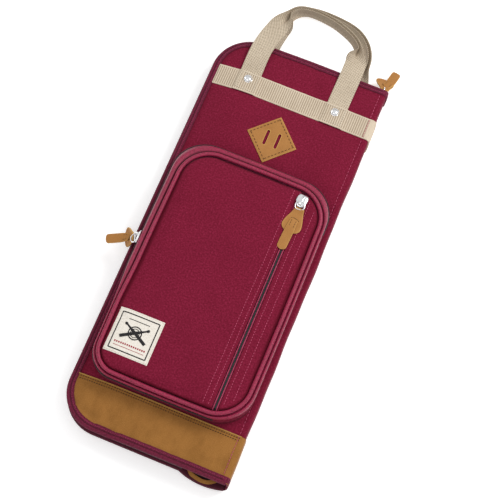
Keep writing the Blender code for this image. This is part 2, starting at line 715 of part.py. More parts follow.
def make_pull(name, frame, lift_degrees, droop_degrees, link_width, edge_on):
    """Wire link through the eyelet, lifted from the zip, and the leather tab that hangs from it."""
    turn = frame.to_3x3()
    lift, droop = math.radians(lift_degrees), math.radians(droop_degrees)
    hinge = turn @ Vector((1, 0, 0))
    heading = turn @ Vector((0, -math.cos(lift), math.sin(lift)))
    pivot = frame @ eyelet_centre()
    link = bmesh.new()
    loop_tube(link, link_loop(pivot, hinge, heading, link_width), hinge.cross(heading), LINK_WIRE, WIRE_SIDES)
    add_mesh(name + "_link", link, "nickel", pivot)
    far = pivot + LINK_LENGTH * heading
    tab_heading = math.cos(droop) * heading + math.sin(droop) * Vector((0, 0, -1))
    sideways = hinge.cross(heading) if edge_on else hinge
    axes = Matrix((tab_heading, sideways, tab_heading.cross(sideways))).transposed().to_4x4()
    tab_frame = Matrix.Translation(far - LINK_LENGTH * tab_heading) @ axes
    outline = PULL_HALF_OUTLINE + [(u, -w) for u, w in reversed(PULL_HALF_OUTLINE)]
    shape = prism(outline, -PULL_THICKNESS / 2, PULL_THICKNESS / 2, tab_frame)
    tab = add_mesh(name + "_leather", shape, "leather", pivot)
    hole = bmesh.new()
    clear = LINK_WIRE + GAP
    place = Matrix.Translation(far) @ hinge.to_track_quat("Z", "Y").to_matrix().to_4x4()
    depth = 2 * link_width
    bmesh.ops.create_cone(
        hole, cap_ends=True, segments=HOLE_SIDES, radius1=clear, radius2=clear, depth=depth, matrix=place
    )
    combine(tab, hole, "DIFFERENCE")


def make_zip_hardware():
    """The three sliders with their pulls."""
    wall_top = Vector((MAIN_SLIDER_X, HALF_Y - TEETH_OUTER, ZIP_LEVEL))
    wall_left = Vector((POCKET_LEFT, POCKET_SLIDER_Y, POCKET_ZIP))
    face = Vector((QUICK_X, QUICK_SLIDER_Y, POCKET_FACE))
    for name, origin, across, outward, lift, droop, link_width, edge_on in (
        ("main", wall_top, (0, 0, -1), (0, 1, 0), MAIN_LIFT, MAIN_DROOP, MAIN_LINK_WIDTH, True),
        ("pocket", wall_left, (0, 0, 1), (-1, 0, 0), POCKET_LIFT, POCKET_DROOP, POCKET_LINK_WIDTH, True),
        ("quick", face, (1, 0, 0), (0, 0, 1), 0, 0, QUICK_LINK_WIDTH, False),
    ):
        frame = slider_frame(origin, across, outward)
        make_slider(name + "_slider", frame)
        make_pull(name + "_pull", frame, lift, droop, link_width, edge_on)


def main():
    """Build the whole bag."""
    clear_scene()
    make_materials()
    make_back_half()
    make_spine()
    make_front_half()
    make_stick_sleeve()
    make_inner_pocket()
    make_pocket()
    make_handles()
    make_zip_hardware()


main()
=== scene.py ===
"""How the drum stick bag looks: canvas, suede, webbing, leather and zips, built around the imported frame."""

import bpy
import numpy as np
from mathutils import Matrix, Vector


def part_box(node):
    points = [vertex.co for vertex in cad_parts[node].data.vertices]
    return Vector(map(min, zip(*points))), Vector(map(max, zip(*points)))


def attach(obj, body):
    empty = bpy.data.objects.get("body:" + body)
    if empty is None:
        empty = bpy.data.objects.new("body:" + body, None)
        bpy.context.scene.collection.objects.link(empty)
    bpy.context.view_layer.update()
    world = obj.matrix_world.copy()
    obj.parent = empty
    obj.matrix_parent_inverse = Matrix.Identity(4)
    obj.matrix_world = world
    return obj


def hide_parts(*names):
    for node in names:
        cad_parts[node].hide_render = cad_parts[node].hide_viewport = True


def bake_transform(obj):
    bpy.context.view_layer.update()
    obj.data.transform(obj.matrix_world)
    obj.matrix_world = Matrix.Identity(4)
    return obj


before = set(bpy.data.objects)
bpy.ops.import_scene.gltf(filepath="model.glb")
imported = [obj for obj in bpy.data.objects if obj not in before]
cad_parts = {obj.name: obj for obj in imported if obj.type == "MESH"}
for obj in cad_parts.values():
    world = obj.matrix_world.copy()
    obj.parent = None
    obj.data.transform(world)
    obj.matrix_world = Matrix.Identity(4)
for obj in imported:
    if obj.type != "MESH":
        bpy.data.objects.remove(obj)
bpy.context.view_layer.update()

MM = 0.001  # lengths below are millimetres; build() turns them into metres
UV_MAP = "metres"


def box(node):
    """A CAD node's lowest and highest corners, in millimetres."""
    low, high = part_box(node)
    return np.array(low) / MM, np.array(high) / MM


# ------------------------------------------------------------ sizes, most of them from the frame
EDGE_LOW, EDGE_HIGH = box("front_binding")
LEFT, HALF, FRONT = EDGE_LOW[0], EDGE_HIGH[1], EDGE_HIGH[2]
RIGHT = box("spine_cover")[1][0]
MIDDLE = FRONT / 2  # level of the main zip
CORNER = 45.0  # radius of a half's outer corners
ROLL = 4.2  # radius of the spine's roll
SHELL_RIGHT = RIGHT - ROLL  # where the flat panels meet it
PANEL = 6.0  # thickness of one padded half
SUEDE_TOP = box("front_suede")[1][1]
BAND_LOW, BAND_HIGH = box("spine_webbing")[0][1], box("spine_webbing")[1][1]
POCKET_LOW, POCKET_HIGH = box("pocket_front_gusset")
POCKET_ZIP = (box("pocket_rear_zip")[1][2] + box("pocket_front_zip")[0][2]) / 2
FACE = box("pocket_panel")[1][2]
QUICK_X = (box("quick_zip_left")[1][0] + box("quick_zip_right")[0][0]) / 2


# ------------------------------------------------------------ small geometry helpers
def unit(v):
    return v / np.maximum(np.linalg.norm(v, axis=-1, keepdims=True), 1e-9)


def ease(t):
    t = np.clip(t, 0, 1)
    return t * t * (3 - 2 * t)


def falloff(distance, reach, power=2.2):
    return (1 - np.clip(distance / reach, 0, 1)) ** power


def inset(x, y, low, high, radius):
    """How far a point lies inside a rounded rectangle."""
    centre, half = (np.array(low) + high) / 2, (np.array(high) - low) / 2
    qx, qy = abs(x - centre[0]) - half[0] + radius, abs(y - centre[1]) - half[1] + radius
    return radius - np.hypot(np.maximum(qx, 0), np.maximum(qy, 0)) - np.minimum(np.maximum(qx, qy), 0)


def both(values):
    """Numbers for the two faces of a solid made by sheet_rings."""
    return np.concatenate([values, values], 1)


def plan_of(x, y):
    """A grid of plan points from its x and y."""
    return np.stack(np.broadcast_arrays(x, y), -1)


def round_off(over, radius):
    """How far a rounded corner falls back from its side, at a distance past where it starts."""
    return np.where(over > 0, radius - np.sqrt(np.maximum(radius ** 2 - over ** 2, 0)), 0)


def sample(grid, row, column):
    """A grid's value between its points, at fractional row and column numbers."""
    row, column = np.clip(row, 0, grid.shape[0] - 1.001), np.clip(column, 0, grid.shape[1] - 1.001)
    i, j = row.astype(int), column.astype(int)
    a, b = row - i, column - j
    return ((grid[i, j] * (1 - b) + grid[i, j + 1] * b) * (1 - a)
            + (grid[i + 1, j] * (1 - b) + grid[i + 1, j + 1] * b) * a)


def directions(path, closed=False):
    if closed:
        return unit(np.roll(path, -1, 0) - np.roll(path, 1, 0))
    return unit(np.gradient(path, axis=0))


def sideways(path, closed=False):
    """Level directions to the right of a line."""
    return unit(np.cross(directions(path, closed), (0, 0, 1)))

def densify(points, gap):
    """The same line with a point at least every gap."""
    out = [np.asarray(points[0], float)]
    for a, b in zip(points[:-1], points[1:]):
        a, b = np.asarray(a, float), np.asarray(b, float)
        count = max(1, int(np.ceil(np.linalg.norm(b - a) / gap)))
        out += [a + (b - a) * i / count for i in range(1, count + 1)]
    return np.array(out)


def distances(path):
    """How far along a line each of its points lies."""
    return np.r_[0, np.cumsum(np.linalg.norm(np.diff(path, axis=0), axis=1))]


def points_at(path, at):
    """Points of a line at given distances along it."""
    length = distances(path)
    return np.stack([np.interp(at, length, c) for c in path.T], 1)


def walk(path, step, start=0.0):
    """Points at equal distances along a line."""
    return points_at(path, np.arange(start, distances(path)[-1], step))


def resample(line, count):
    """A closed line as count points at equal distances."""
    loop = np.vstack([line, line[:1]])
    return points_at(loop, np.linspace(0, distances(loop)[-1], count, endpoint=False))

def spline(points, steps=8):
    """A smooth line through the points."""
    p = np.asarray(points, float)
    p = np.vstack([2 * p[0] - p[1], p, 2 * p[-1] - p[-2]])
    t = np.arange(steps)[:, None] / steps
    out = []
    for a, b, c, d in zip(p, p[1:], p[2:], p[3:]):
        out.append(b + 0.5 * t * (c - a + t * (2 * a - 5 * b + 4 * c - d + t * (3 * b - a - 3 * c + d))))
    return np.vstack(out + [p[-2:-1]])


def rounded(low, high, radii, bow, gap, arc=15):
    """A rounded rectangle, counterclockwise from the middle of its right side; its sides bow out a little."""
    low, high = np.asarray(low, float), np.asarray(high, float)
    centre, half = (low + high) / 2, (high - low) / 2
    points = [(high[0], centre[1])]
    for turn, radius in enumerate(radii):
        cx = high[0] - radius if turn in (0, 3) else low[0] + radius
        cy = high[1] - radius if turn < 2 else low[1] + radius
        points += [(cx + radius * np.cos(a), cy + radius * np.sin(a))
                   for a in np.linspace(0, np.pi / 2, arc) + turn * np.pi / 2]
    points = densify(points + points[:1], gap)[:-1]
    u, v = ((points - centre) / half).T
    points[:, 0] += bow * np.clip(u, -1, 1) ** 3 * (1 - v ** 2)
    points[:, 1] += bow * np.clip(v, -1, 1) ** 3 * (1 - u ** 2)
    return points


# ------------------------------------------------------------ meshes
def skin(rings, closed=False, flat=False):
    """Points, quads and UVs of a solid through rings of points; caps close its ends."""
    n, k = rings.shape[:2]
    around = np.linalg.norm(np.roll(rings, -1, 1) - rings, axis=2)
    u = np.c_[np.zeros(n), np.cumsum(around, 1)]
    step = np.linalg.norm(np.roll(rings, -1, 0) - rings, axis=2).mean(1)
    v = np.r_[0, np.cumsum(step)]
    i, j = np.meshgrid(np.arange(n if closed else n - 1), np.arange(k), indexing="ij")
    up = (i + 1) % n
    quads = np.stack([i * k + j, i * k + (j + 1) % k, up * k + (j + 1) % k, up * k + j], -1).reshape(-1, 4)
    uvs = np.stack([np.stack([u[i, j], v[i]], -1), np.stack([u[i, j + 1], v[i]], -1),
                    np.stack([u[up, j + 1], v[i + 1]], -1), np.stack([u[up, j], v[i + 1]], -1)], -2)
    uvs = uvs.reshape(-1, 4, 2)
    points = rings.reshape(-1, 3)
    if not closed:
        c = np.arange(k // 2 - 1)
        cap = np.stack([c, c + 1, k - 2 - c, k - 1 - c], -1)
        caps = np.vstack([cap[:, ::-1], cap + (n - 1) * k])
        quads = np.vstack([quads, caps])
        uvs = np.concatenate([uvs, points[caps][:, :, :2]])
    if flat:
        uvs = points[quads][:, :, :2]
    return points, quads, uvs


def merge(parts):
    """Several (points, quads, uvs) as one."""
    start = np.cumsum([0] + [len(p[0]) for p in parts])
    return (np.vstack([p[0] for p in parts]), np.vstack([p[1] + s for p, s in zip(parts, start)]),
            np.concatenate([p[2] for p in parts]))


PIECES = []  # every mesh object that build() makes, in order


def build(name, shape, look, marks=None, sharp=60):
    """A mesh object from (points, quads, uvs), right side out, with marks, numbers per point."""
    points, quads, uvs = shape
    p = points[quads] - points.mean(0)
    volume = (p[:, 0] * (np.cross(p[:, 1], p[:, 2]) + np.cross(p[:, 2], p[:, 3]))).sum()
    if volume < 0:
        quads, uvs = quads[:, ::-1], uvs[:, ::-1]
    mesh = bpy.data.meshes.new(name)
    mesh.from_pydata((points * MM).tolist(), [], quads.tolist())
    mesh.uv_layers.new(name=UV_MAP).data.foreach_set("uv", (uvs * MM).ravel())
    mesh.polygons.foreach_set("use_smooth", [True] * len(quads))
    mesh.set_sharp_from_angle(angle=np.radians(sharp))
    for mark, values in (marks or {}).items():
        numbers = np.ravel(values).astype(np.float32)
        mesh.attributes.new(mark, "FLOAT", "POINT").data.foreach_set("value", numbers)
    mesh.materials.append(look)
    obj = bpy.data.objects.new(name, mesh)
    bpy.context.scene.collection.objects.link(obj)
    PIECES.append(obj)
    return obj


def place(obj, body, slot, *nodes, fill=None):
    """The piece rides on its body unless body is None, and stands for CAD nodes, which it hides. Its slot is
    not used.
    """
    if body:
        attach(obj, body)
    if nodes:
        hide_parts(*nodes)
    return obj


def add(name, shape, look, body, slot, *nodes, sharp=60, fill=None, **marks):
    """Builds a piece and puts it in its place."""
    return place(build(name, shape, look, marks, sharp), body, slot, *nodes, fill=fill)


def span(piece):
    """Bakes the piece's placement into its mesh."""
    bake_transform(piece)


def ribbon_profile(width, thickness, count=6):
    """A flat strap's cross-section, (sideways, up), with an even number of points."""
    x = np.linspace(-width / 2, width / 2, count)
    y = thickness / 2 * np.r_[0.55, np.ones(count - 2), 0.55]
    return np.vstack([np.c_[x, y], np.c_[x[::-1], -y[::-1]]])


def around(sides):
    """Angles of the corners of a polygon with level sides."""
    return (np.arange(sides) + 0.5) * 2 * np.pi / sides


def round_profile(radius, sides=12):
    a = around(sides)
    return np.c_[np.cos(a), np.sin(a)] * radius


def sweep(path, profile, closed=False, up=(0, 0, 1)):
    """Rings of a profile, (sideways, up), carried along a line. It may change from point to point."""
    ahead = directions(path, closed)
    up = np.broadcast_to(np.asarray(up, float), path.shape)
    side = unit(np.cross(ahead, up))
    top = unit(np.cross(side, ahead))
    profile = np.broadcast_to(profile, (len(path),) + np.shape(profile)[-2:])
    return path[:, None] + profile[..., :1] * side[:, None] + profile[..., 1:] * top[:, None]


def tube(path, radius, sides=8, **how):
    """A round cord along a line."""
    return skin(sweep(path, round_profile(radius, sides), **how), how.get("closed", False))


def strip(path, width, thickness, count=6, **how):
    """A flat tape along a line."""
    return skin(sweep(path, ribbon_profile(width, thickness, count), **how), how.get("closed", False))


def coil(path, radius, pitch):
    """A zip coil: a tube whose radius swells at every turn."""
    line = walk(path, pitch / 4)
    swell = radius * (1 + 0.24 * np.cos(np.arange(len(line)) * np.pi / 2))
    return skin(sweep(line, round_profile(1.0, 8) * swell[:, None, None]))


def stitches(path, up, pitch=3.6, length=2.5, radius=0.34, zigzag=0.0):
    """Separate stitches along a line, each a small rounded bar half sunk in the cloth."""
    at = walk(path, pitch, pitch / 2)
    ahead = directions(at)
    up = unit(np.broadcast_to(np.asarray(up, float), at.shape))
    side = unit(np.cross(ahead, up))
    if zigzag:
        flip = np.where(np.arange(len(at)) % 2, 1.0, -1.0)[:, None]
        ahead = unit(ahead * pitch + side * flip * zigzag * 2)
        side = unit(np.cross(ahead, up))
    along = np.array([-1, -0.72, 0.72, 1]) * length / 2
    swell = np.array([0.45, 1, 1, 0.45]) * radius
    a = (np.arange(6) + 0.5) * np.pi / 3
    rings = (at[:, None, None] + along[:, None, None] * ahead[:, None, None]
             + (swell[:, None] * np.cos(a))[..., None] * side[:, None, None]
             + (swell[:, None] * np.sin(a) + radius * 0.25)[..., None] * up[:, None, None])
    points, quads, uvs = skin(rings[0])
    starts = len(points) * np.arange(len(at))[:, None, None]
    return rings.reshape(-1, 3), (quads + starts).reshape(-1, 4), np.tile(uvs, (len(at), 1, 1))


def sheet_rings(outer, inner):
    """Rings of a solid between two grids of points."""
    return np.concatenate([outer, inner[:, ::-1]], 1)


def leaf(path, half_width, half_depth, up=(0, 0, 1), sides=16, square=0.5):
    """A leaf, tongue or shield: soft-edged cross-sections of changing width along a line."""
    c, s = np.cos(around(sides)), np.sin(around(sides))
    profile = np.stack([np.sign(c) * abs(c) ** square, np.sign(s) * abs(s) ** square], -1)
    size = np.stack([half_width, half_depth], -1)[:, None]
    return skin(sweep(path, profile * size, up=up))


def lathe(profile, centre, turns=28):
    """A round piece about an upright axis, from (radius, height) points in order round its section."""
    profile = np.asarray(profile, float)
    a = np.linspace(0, 2 * np.pi, turns, endpoint=False)
    rings = np.stack([profile[:, 0] * np.cos(a)[:, None], profile[:, 0] * np.sin(a)[:, None],
                      np.broadcast_to(profile[:, 1], (turns, len(profile)))], -1)
    return skin(rings + np.asarray(centre, float), closed=True)


# ------------------------------------------------------------ materials
def colour(rgb):
    """A picture colour from 0 to 255 as linear light."""
    c = np.array(rgb) / 255
    return (*np.where(c <= 0.04045, c / 12.92, ((c + 0.055) / 1.055) ** 2.4), 1.0)


class Look:
    """One procedural material, a Principled shader with small node graphs for colour, roughness and bump."""

    def __init__(self, name, base, roughness, **sockets):
        self.material = bpy.data.materials.new(name)
        self.material.use_nodes = True
        self.tree = self.material.node_tree
        self.shader = self.tree.nodes["Principled BSDF"]
        self.shader.inputs["Roughness"].default_value = roughness
        self.shader.inputs["Base Color"].default_value = base
        for socket, value in sockets.items():
            self.shader.inputs[socket.replace("_", " ")].default_value = value
        self.uv = self.node("ShaderNodeUVMap", uv_map=UV_MAP).outputs[0]
        self.tint = None
        self.base = base
        self.height = None
        self.rough = roughness

    def node(self, kind, *links, **settings):
        node = self.tree.nodes.new(kind)
        for key, value in settings.items():
            setattr(node, key, value)
        for index, value in enumerate(links):
            if value is None:
                continue
            if isinstance(value, bpy.types.NodeSocket):
                self.tree.links.new(value, node.inputs[index])
            else:
                node.inputs[index].default_value = value
        return node

    def math(self, operation, a, b=0.0):
        return self.node("ShaderNodeMath", a, b, operation=operation).outputs[0]

    def ramp(self, value, low, high):
        """0 at low, 1 at high."""
        return self.node("ShaderNodeMapRange", value, float(low), float(high)).outputs[0]

    def noise(self, size, detail=2.0, stretch=(1, 1)):
        """Noise from 0 to 1 whose blots are about size millimetres."""
        scale = (stretch[0] / (size * MM), stretch[1] / (size * MM), 0)
        scaled = self.node("ShaderNodeVectorMath", self.uv, scale, operation="MULTIPLY")
        node = self.node("ShaderNodeTexNoise", scaled.outputs[0])
        node.inputs["Scale"].default_value = 1.0
        node.inputs["Detail"].default_value = detail
        return node.outputs[0]

    def waves(self, u, v, pitch):
        """A wave from -1 to 1 that runs along (u, v) with a pitch in millimetres."""
        turn = 2 * np.pi / (pitch * MM)
        wave = (u * turn, v * turn, 0)
        along = self.node("ShaderNodeVectorMath", self.uv, wave, operation="DOT_PRODUCT")
        return self.math("SINE", along.outputs["Value"])

    def mark(self, name):
        return self.node("ShaderNodeAttribute", attribute_name=name).outputs["Fac"]

    def mix(self, factor, other):
        """Mixes another colour over what the material has so far."""
        node = self.node("ShaderNodeMix", factor, data_type="RGBA")
        under, over = node.inputs[6], node.inputs[7]
        if self.tint is None:
            under.default_value = self.base
        else:
            self.tree.links.new(self.tint, under)
        over.default_value = other
        self.tint = node.outputs[2]
        return self

    def blot(self, value, low, high, share, other):
        """Mixes another colour in, up to a share of it, as a value goes from low to high."""
        return self.mix(self.math("MULTIPLY", self.ramp(value, low, high), share), other)

    def bump(self, height, depth):
        """Adds a height from 0 to 1, depth millimetres deep, to the bump."""
        tall = self.math("MULTIPLY", height, depth * MM)
        self.height = tall if self.height is None else self.math("ADD", self.height, tall)
        return self

    def vary(self, amount, value):
        """Roughness changes with a value from 0 to 1."""
        low, high = self.rough - amount, self.rough + amount
        node = self.node("ShaderNodeMapRange", value, 0.0, 1.0, float(low), float(high))
        self.tree.links.new(node.outputs[0], self.shader.inputs["Roughness"])
        return self

    def done(self):
        if self.tint is not None:
            self.tree.links.new(self.tint, self.shader.inputs["Base Color"])
        if self.height is not None:
            node = self.node("ShaderNodeBump")
            node.inputs["Strength"].default_value = 1.0
            node.inputs["Distance"].default_value = 1.0
            self.tree.links.new(self.height, node.inputs["Height"])
            self.tree.links.new(node.outputs[0], self.shader.inputs["Normal"])
        return self.material


def woven(name, base, dark, light, weave=0.9, depth=0.10, roughness=0.85, twill=False,
          contrast=0.35, grain=1.0, **sockets):
    """Woven cloth: threads over and under, slubs, and painted shade where a piece carries a soil mark."""
    base, dark, light = colour(base), colour(dark), colour(light)
    look = Look(name, base, roughness, **sockets)
    if twill:
        threads = look.ramp(look.waves(0.8, 0.6, weave), -1, 1)
    else:
        threads = look.ramp(look.math("MULTIPLY", look.waves(1, 0, weave), look.waves(0, 1, weave)), -1, 1)
    fine, broad = look.noise(1.8, 3.0), look.noise(38, 2.0)
    look.blot(fine, 0.5, 0.72, 0.8 * grain, light)
    look.blot(fine, 0.5, 0.3, 0.6 * grain, dark)
    look.blot(broad, 0.4, 0.8, 0.22, dark)
    look.blot(threads, 0.5, 0.0, contrast, dark)
    # painted shade: the cloth's dark colour mixed in by the soil mark
    look.mix(look.mark("soil"), dark)
    look.bump(threads, depth).bump(fine, depth * 0.8)
    look.vary(0.06, fine)
    return look.done()


def napped(name, base, dark, light, edge, depth=0.12, roughness=0.8, **sockets):
    """Suede or leather: fine grain, cloudy wear, painted shade where a piece carries a soil mark, and a pale
    cut edge where a piece is marked.
    """
    base, dark, light, edge = colour(base), colour(dark), colour(light), colour(edge)
    look = Look(name, base, roughness, **sockets)
    fine, cloud, long = look.noise(0.9, 4.0), look.noise(22, 3.0), look.noise(6, 3.0, (1.0, 0.35))
    look.blot(cloud, 0.45, 0.75, 0.45, dark)
    look.blot(fine, 0.5, 0.7, 0.45, light)
    look.blot(fine, 0.5, 0.32, 0.35, dark)
    look.blot(long, 0.5, 0.8, 0.25, dark)
    # painted shade: the dark colour mixed in by the soil mark
    look.mix(look.mark("soil"), dark)
    look.mix(look.mark("edge"), edge)
    look.bump(fine, depth).bump(long, depth)
    look.vary(0.08, cloud)
    return look.done()


def thread(name, base, dark):
    """Sewing thread with a twist."""
    look = Look(name, colour(base), 0.6, Specular_IOR_Level=0.3)
    twist = look.ramp(look.waves(0.7, 1.0, 0.8), -1, 1)
    return look.mix(look.math("MULTIPLY", twist, 0.6), colour(dark)).bump(twist, 0.12).done()


def polished(name, base, roughness, metallic):
    """Plated metal or smooth plastic with wear and fine scratches."""
    base = colour(base)
    look = Look(name, base, roughness, Metallic=metallic)
    wear, scratch = look.noise(9.0, 4.0), look.noise(0.6, 2.0, (0.15, 1.0))
    look.blot(wear, 0.45, 0.8, 0.35, tuple(0.75 * c for c in base[:3]) + (1.0,))
    look.bump(scratch, 0.015)
    return look.vary(roughness * 0.5, wear).done()


CANVAS = woven("canvas", (119, 22, 48), (88, 8, 28), (144, 38, 68), contrast=0.25,
               Specular_IOR_Level=0.1, Sheen_Weight=0.03, Sheen_Roughness=0.5)
BINDING = woven("binding", (114, 28, 56), (50, 8, 20), (130, 44, 74), weave=1.5, depth=0.22, roughness=0.75,
                twill=True, Specular_IOR_Level=0.2)
PIPING = woven("piping", (152, 28, 66), (42, 6, 16), (168, 42, 80), weave=0.8, depth=0.06, roughness=0.5,
               twill=True, contrast=0.12, Specular_IOR_Level=0.35, Coat_Weight=0.1, Coat_Roughness=0.35)
WEBBING = woven("webbing", (216, 200, 178), (132, 113, 90), (222, 209, 190), weave=1.3, depth=0.2,
                contrast=0.3, grain=0.3, Specular_IOR_Level=0.15)
STRAP = woven("strap", (214, 198, 175), (112, 94, 72), (230, 218, 200), weave=2.6, depth=0.6,
              contrast=1.0, grain=0.45, Specular_IOR_Level=0.15)
LINING = woven("lining", (40, 38, 42), (22, 21, 24), (58, 56, 60), weave=0.6, depth=0.05, roughness=0.6,
               Specular_IOR_Level=0.3)
TAPE = woven("zip_tape", (24, 12, 16), (8, 4, 6), (40, 24, 30), weave=1.1, depth=0.15, roughness=0.75,
             twill=True, Specular_IOR_Level=0.15)
TAPE_RED = woven("zip_tape_red", (176, 62, 94), (104, 26, 48), (200, 88, 118), weave=1.1, depth=0.15,
                 roughness=0.65, twill=True, Specular_IOR_Level=0.3)
SUEDE = napped("suede", (153, 105, 52), (112, 73, 31), (178, 128, 72), (190, 150, 84),
               Specular_IOR_Level=0.08, Sheen_Weight=0.1, Sheen_Roughness=0.4)
LEATHER = napped("leather", (168, 116, 59), (138, 90, 40), (184, 134, 76), (216, 172, 96),
                 depth=0.08, roughness=0.62, Specular_IOR_Level=0.25)
NICKEL = polished("nickel", (240, 241, 243), 0.12, 1.0)
COIL = polished("zip_coil", (24, 20, 22), 0.4, 0.0)
COIL_GREY = polished("pocket_zip_coil", (30, 24, 27), 0.75, 0.0)
THREAD = thread("thread_pink", (206, 92, 124), (160, 54, 86))
THREAD_BINDING = thread("thread_magenta", (150, 52, 84), (112, 30, 58))
THREAD_DARK = thread("thread_brown", (62, 38, 18), (40, 22, 10))
THREAD_TAN = thread("thread_tan", (232, 222, 204), (196, 180, 156))
THREAD_BLACK = thread("thread_black", (30, 27, 29), (16, 14, 16))
THREAD_RED = thread("thread_red", (170, 26, 52), (130, 16, 36))
LABEL = woven("label_cloth", (232, 226, 215), (204, 196, 182), (240, 235, 227), weave=0.5, depth=0.05,
              roughness=0.7, Specular_IOR_Level=0.2)


# ------------------------------------------------------------ the two padded halves
SIDE_CORNER = HALF - CORNER
BODY_LOW, BODY_HIGH = (LEFT, -HALF), (LEFT + 800, HALF)  # the spine side is cut straight, so far off
CORNER_ROWS = 13
HEM = 1.8  # the panels' cloth ends this far inside the outline
SUEDE_HEM = 6.8


def left_edge(y, d=0.0):
    """The left side of a half, d inside its outline."""
    return LEFT + d + round_off(abs(y) - SIDE_CORNER, CORNER - d)


def row_levels(d):
    """y of the rows of a grid that fills a half, d inside its outline."""
    corner = SIDE_CORNER + (CORNER - d) * np.sin(np.linspace(0, np.pi / 2, CORNER_ROWS))
    straight = np.linspace(-SIDE_CORNER, SIDE_CORNER, int(2 * SIDE_CORNER / 5.0))
    return np.r_[-corner[::-1], straight[1:-1], corner]


def edge_line(d):
    """A half's outline from the spine along the bottom, up the left side and back along the top."""
    a, r = np.linspace(0, np.pi / 2, 22), CORNER - d
    low = [(LEFT + CORNER - r * np.sin(t), -SIDE_CORNER - r * np.cos(t), 0) for t in a]
    high = [(LEFT + CORNER - r * np.cos(t), SIDE_CORNER + r * np.sin(t), 0) for t in a]
    return densify([(SHELL_RIGHT + 2, -HALF + d, 0)] + low + high + [(SHELL_RIGHT + 2, HALF - d, 0)], 3.0)


# Soft folds in the front's suede, each from one point to another: x, y, x, y, depth and width.
CREASES = [(-39, -250, -4, -214, 2.8, 5.0), (-92, -226, -58, -241, 2.2, 5.0), (34, -236, 66, -222, 1.0, 8.0)]


def valley(x, y, x0, y0, x1, y1, depth, width):
    """Depth of a soft fold along the line from (x0, y0) to (x1, y1)."""
    length = np.hypot(x1 - x0, y1 - y0)
    ux, uy = (x1 - x0) / length, (y1 - y0) / length
    along = (x - x0) * ux + (y - y0) * uy
    aside = (y - y0) * ux - (x - x0) * uy
    beyond = np.maximum(np.maximum(-along, along - length), 0)
    return depth * np.exp(-(aside ** 2 + beyond ** 2) / width ** 2)


class Face:
    """An outer face is a height over the plan, and everything on it is draped on that."""
    out = 1  # it faces up

    def on(self, xy, lift=0.0):
        """Points on the face, lifted off it."""
        xy = np.asarray(xy, float)
        z = self.height(xy[..., 0], xy[..., 1]) + self.out * lift
        return np.concatenate([xy[..., :2], z[..., None]], -1)

    def layer(self, x, y, top, under):
        """A layer over a grid of plan points, between two lifts off the face."""
        plan = plan_of(x, y)
        return skin(sheet_rings(self.on(plan, top), self.on(plan, under)), flat=True)

    def upright(self, x, ys, lift=0.0):
        """Points on the face at one x."""
        return self.on(np.c_[np.full(len(ys), x), ys], lift)

    def sewn(self, points, lift, *sizes):
        """Stitches along a line on the face."""
        return stitches(self.on(points, lift), (0, 0, self.out), *sizes)


class Half(Face):
    """One padded half of the bag: the front one faces up, the back one down."""

    def __init__(self, name, out, slope, tuck):
        self.name, self.out, self.slope, self.tuck = name, out, slope, tuck
        self.body = name + "_half"
        self.ys = row_levels(HEM)
        self.share = np.r_[0, 0.008, 0.02, np.linspace(0.04, 0.985, 42), 1]
        self.relief = np.zeros((len(self.ys), len(self.share)))  # how far the cloth has settled

    def bare(self, x, y):
        """How far the outer face is from the middle of the bag, before the cloth has settled."""
        near_left = 1 - ease((x - LEFT) / 115)
        d = np.maximum(inset(x, y, BODY_LOW, BODY_HIGH, CORNER), 0)
        drop = (self.tuck + (self.slope - self.tuck) * near_left) * falloff(d, 42 + 40 * near_left)
        waves = 0.32 * np.sin(x / 19 + 1.4 * np.sin(y / 43)) * np.sin(y / 31 + 0.8) * ease(d / 30)
        if self.out < 0:
            return MIDDLE - drop + waves - 2.3
        for crease in CREASES:
            waves = waves - valley(x, y, *crease)
        return MIDDLE - drop + waves

    def height(self, x, y):
        """z of the outer face."""
        x, y = np.asarray(x, float), np.asarray(y, float)
        left = left_edge(y, HEM)
        row = np.interp(y, self.ys, np.arange(len(self.ys)))
        column = np.interp((x - left) / (SHELL_RIGHT - left), self.share, np.arange(len(self.share)))
        return MIDDLE + self.out * (self.bare(x, y) + sample(self.relief, row, column))

    def padding(self, xs, ys):
        """Thickness of the padded half, which thins towards its bound edge."""
        return PANEL - 2.4 * falloff(np.maximum(inset(xs, ys, BODY_LOW, BODY_HIGH, CORNER), 0), 10, 1.5)

    def plan(self):
        left = left_edge(self.ys, HEM)[:, None]
        xs = left + (SHELL_RIGHT - left) * self.share
        return xs, np.broadcast_to(self.ys[:, None], xs.shape)

    def along_edge(self, profile):
        """Rings of a profile, (inwards, outwards), carried along the outline on the face."""
        line, profile = edge_line(0.0), np.asarray(profile)[None]
        at = line[:, None] + profile[..., :1] * sideways(line)[:, None]
        z = self.height(at[..., 0], at[..., 1]) + self.out * profile[..., 1]
        return np.concatenate([at[..., :2], z[..., None]], -1)


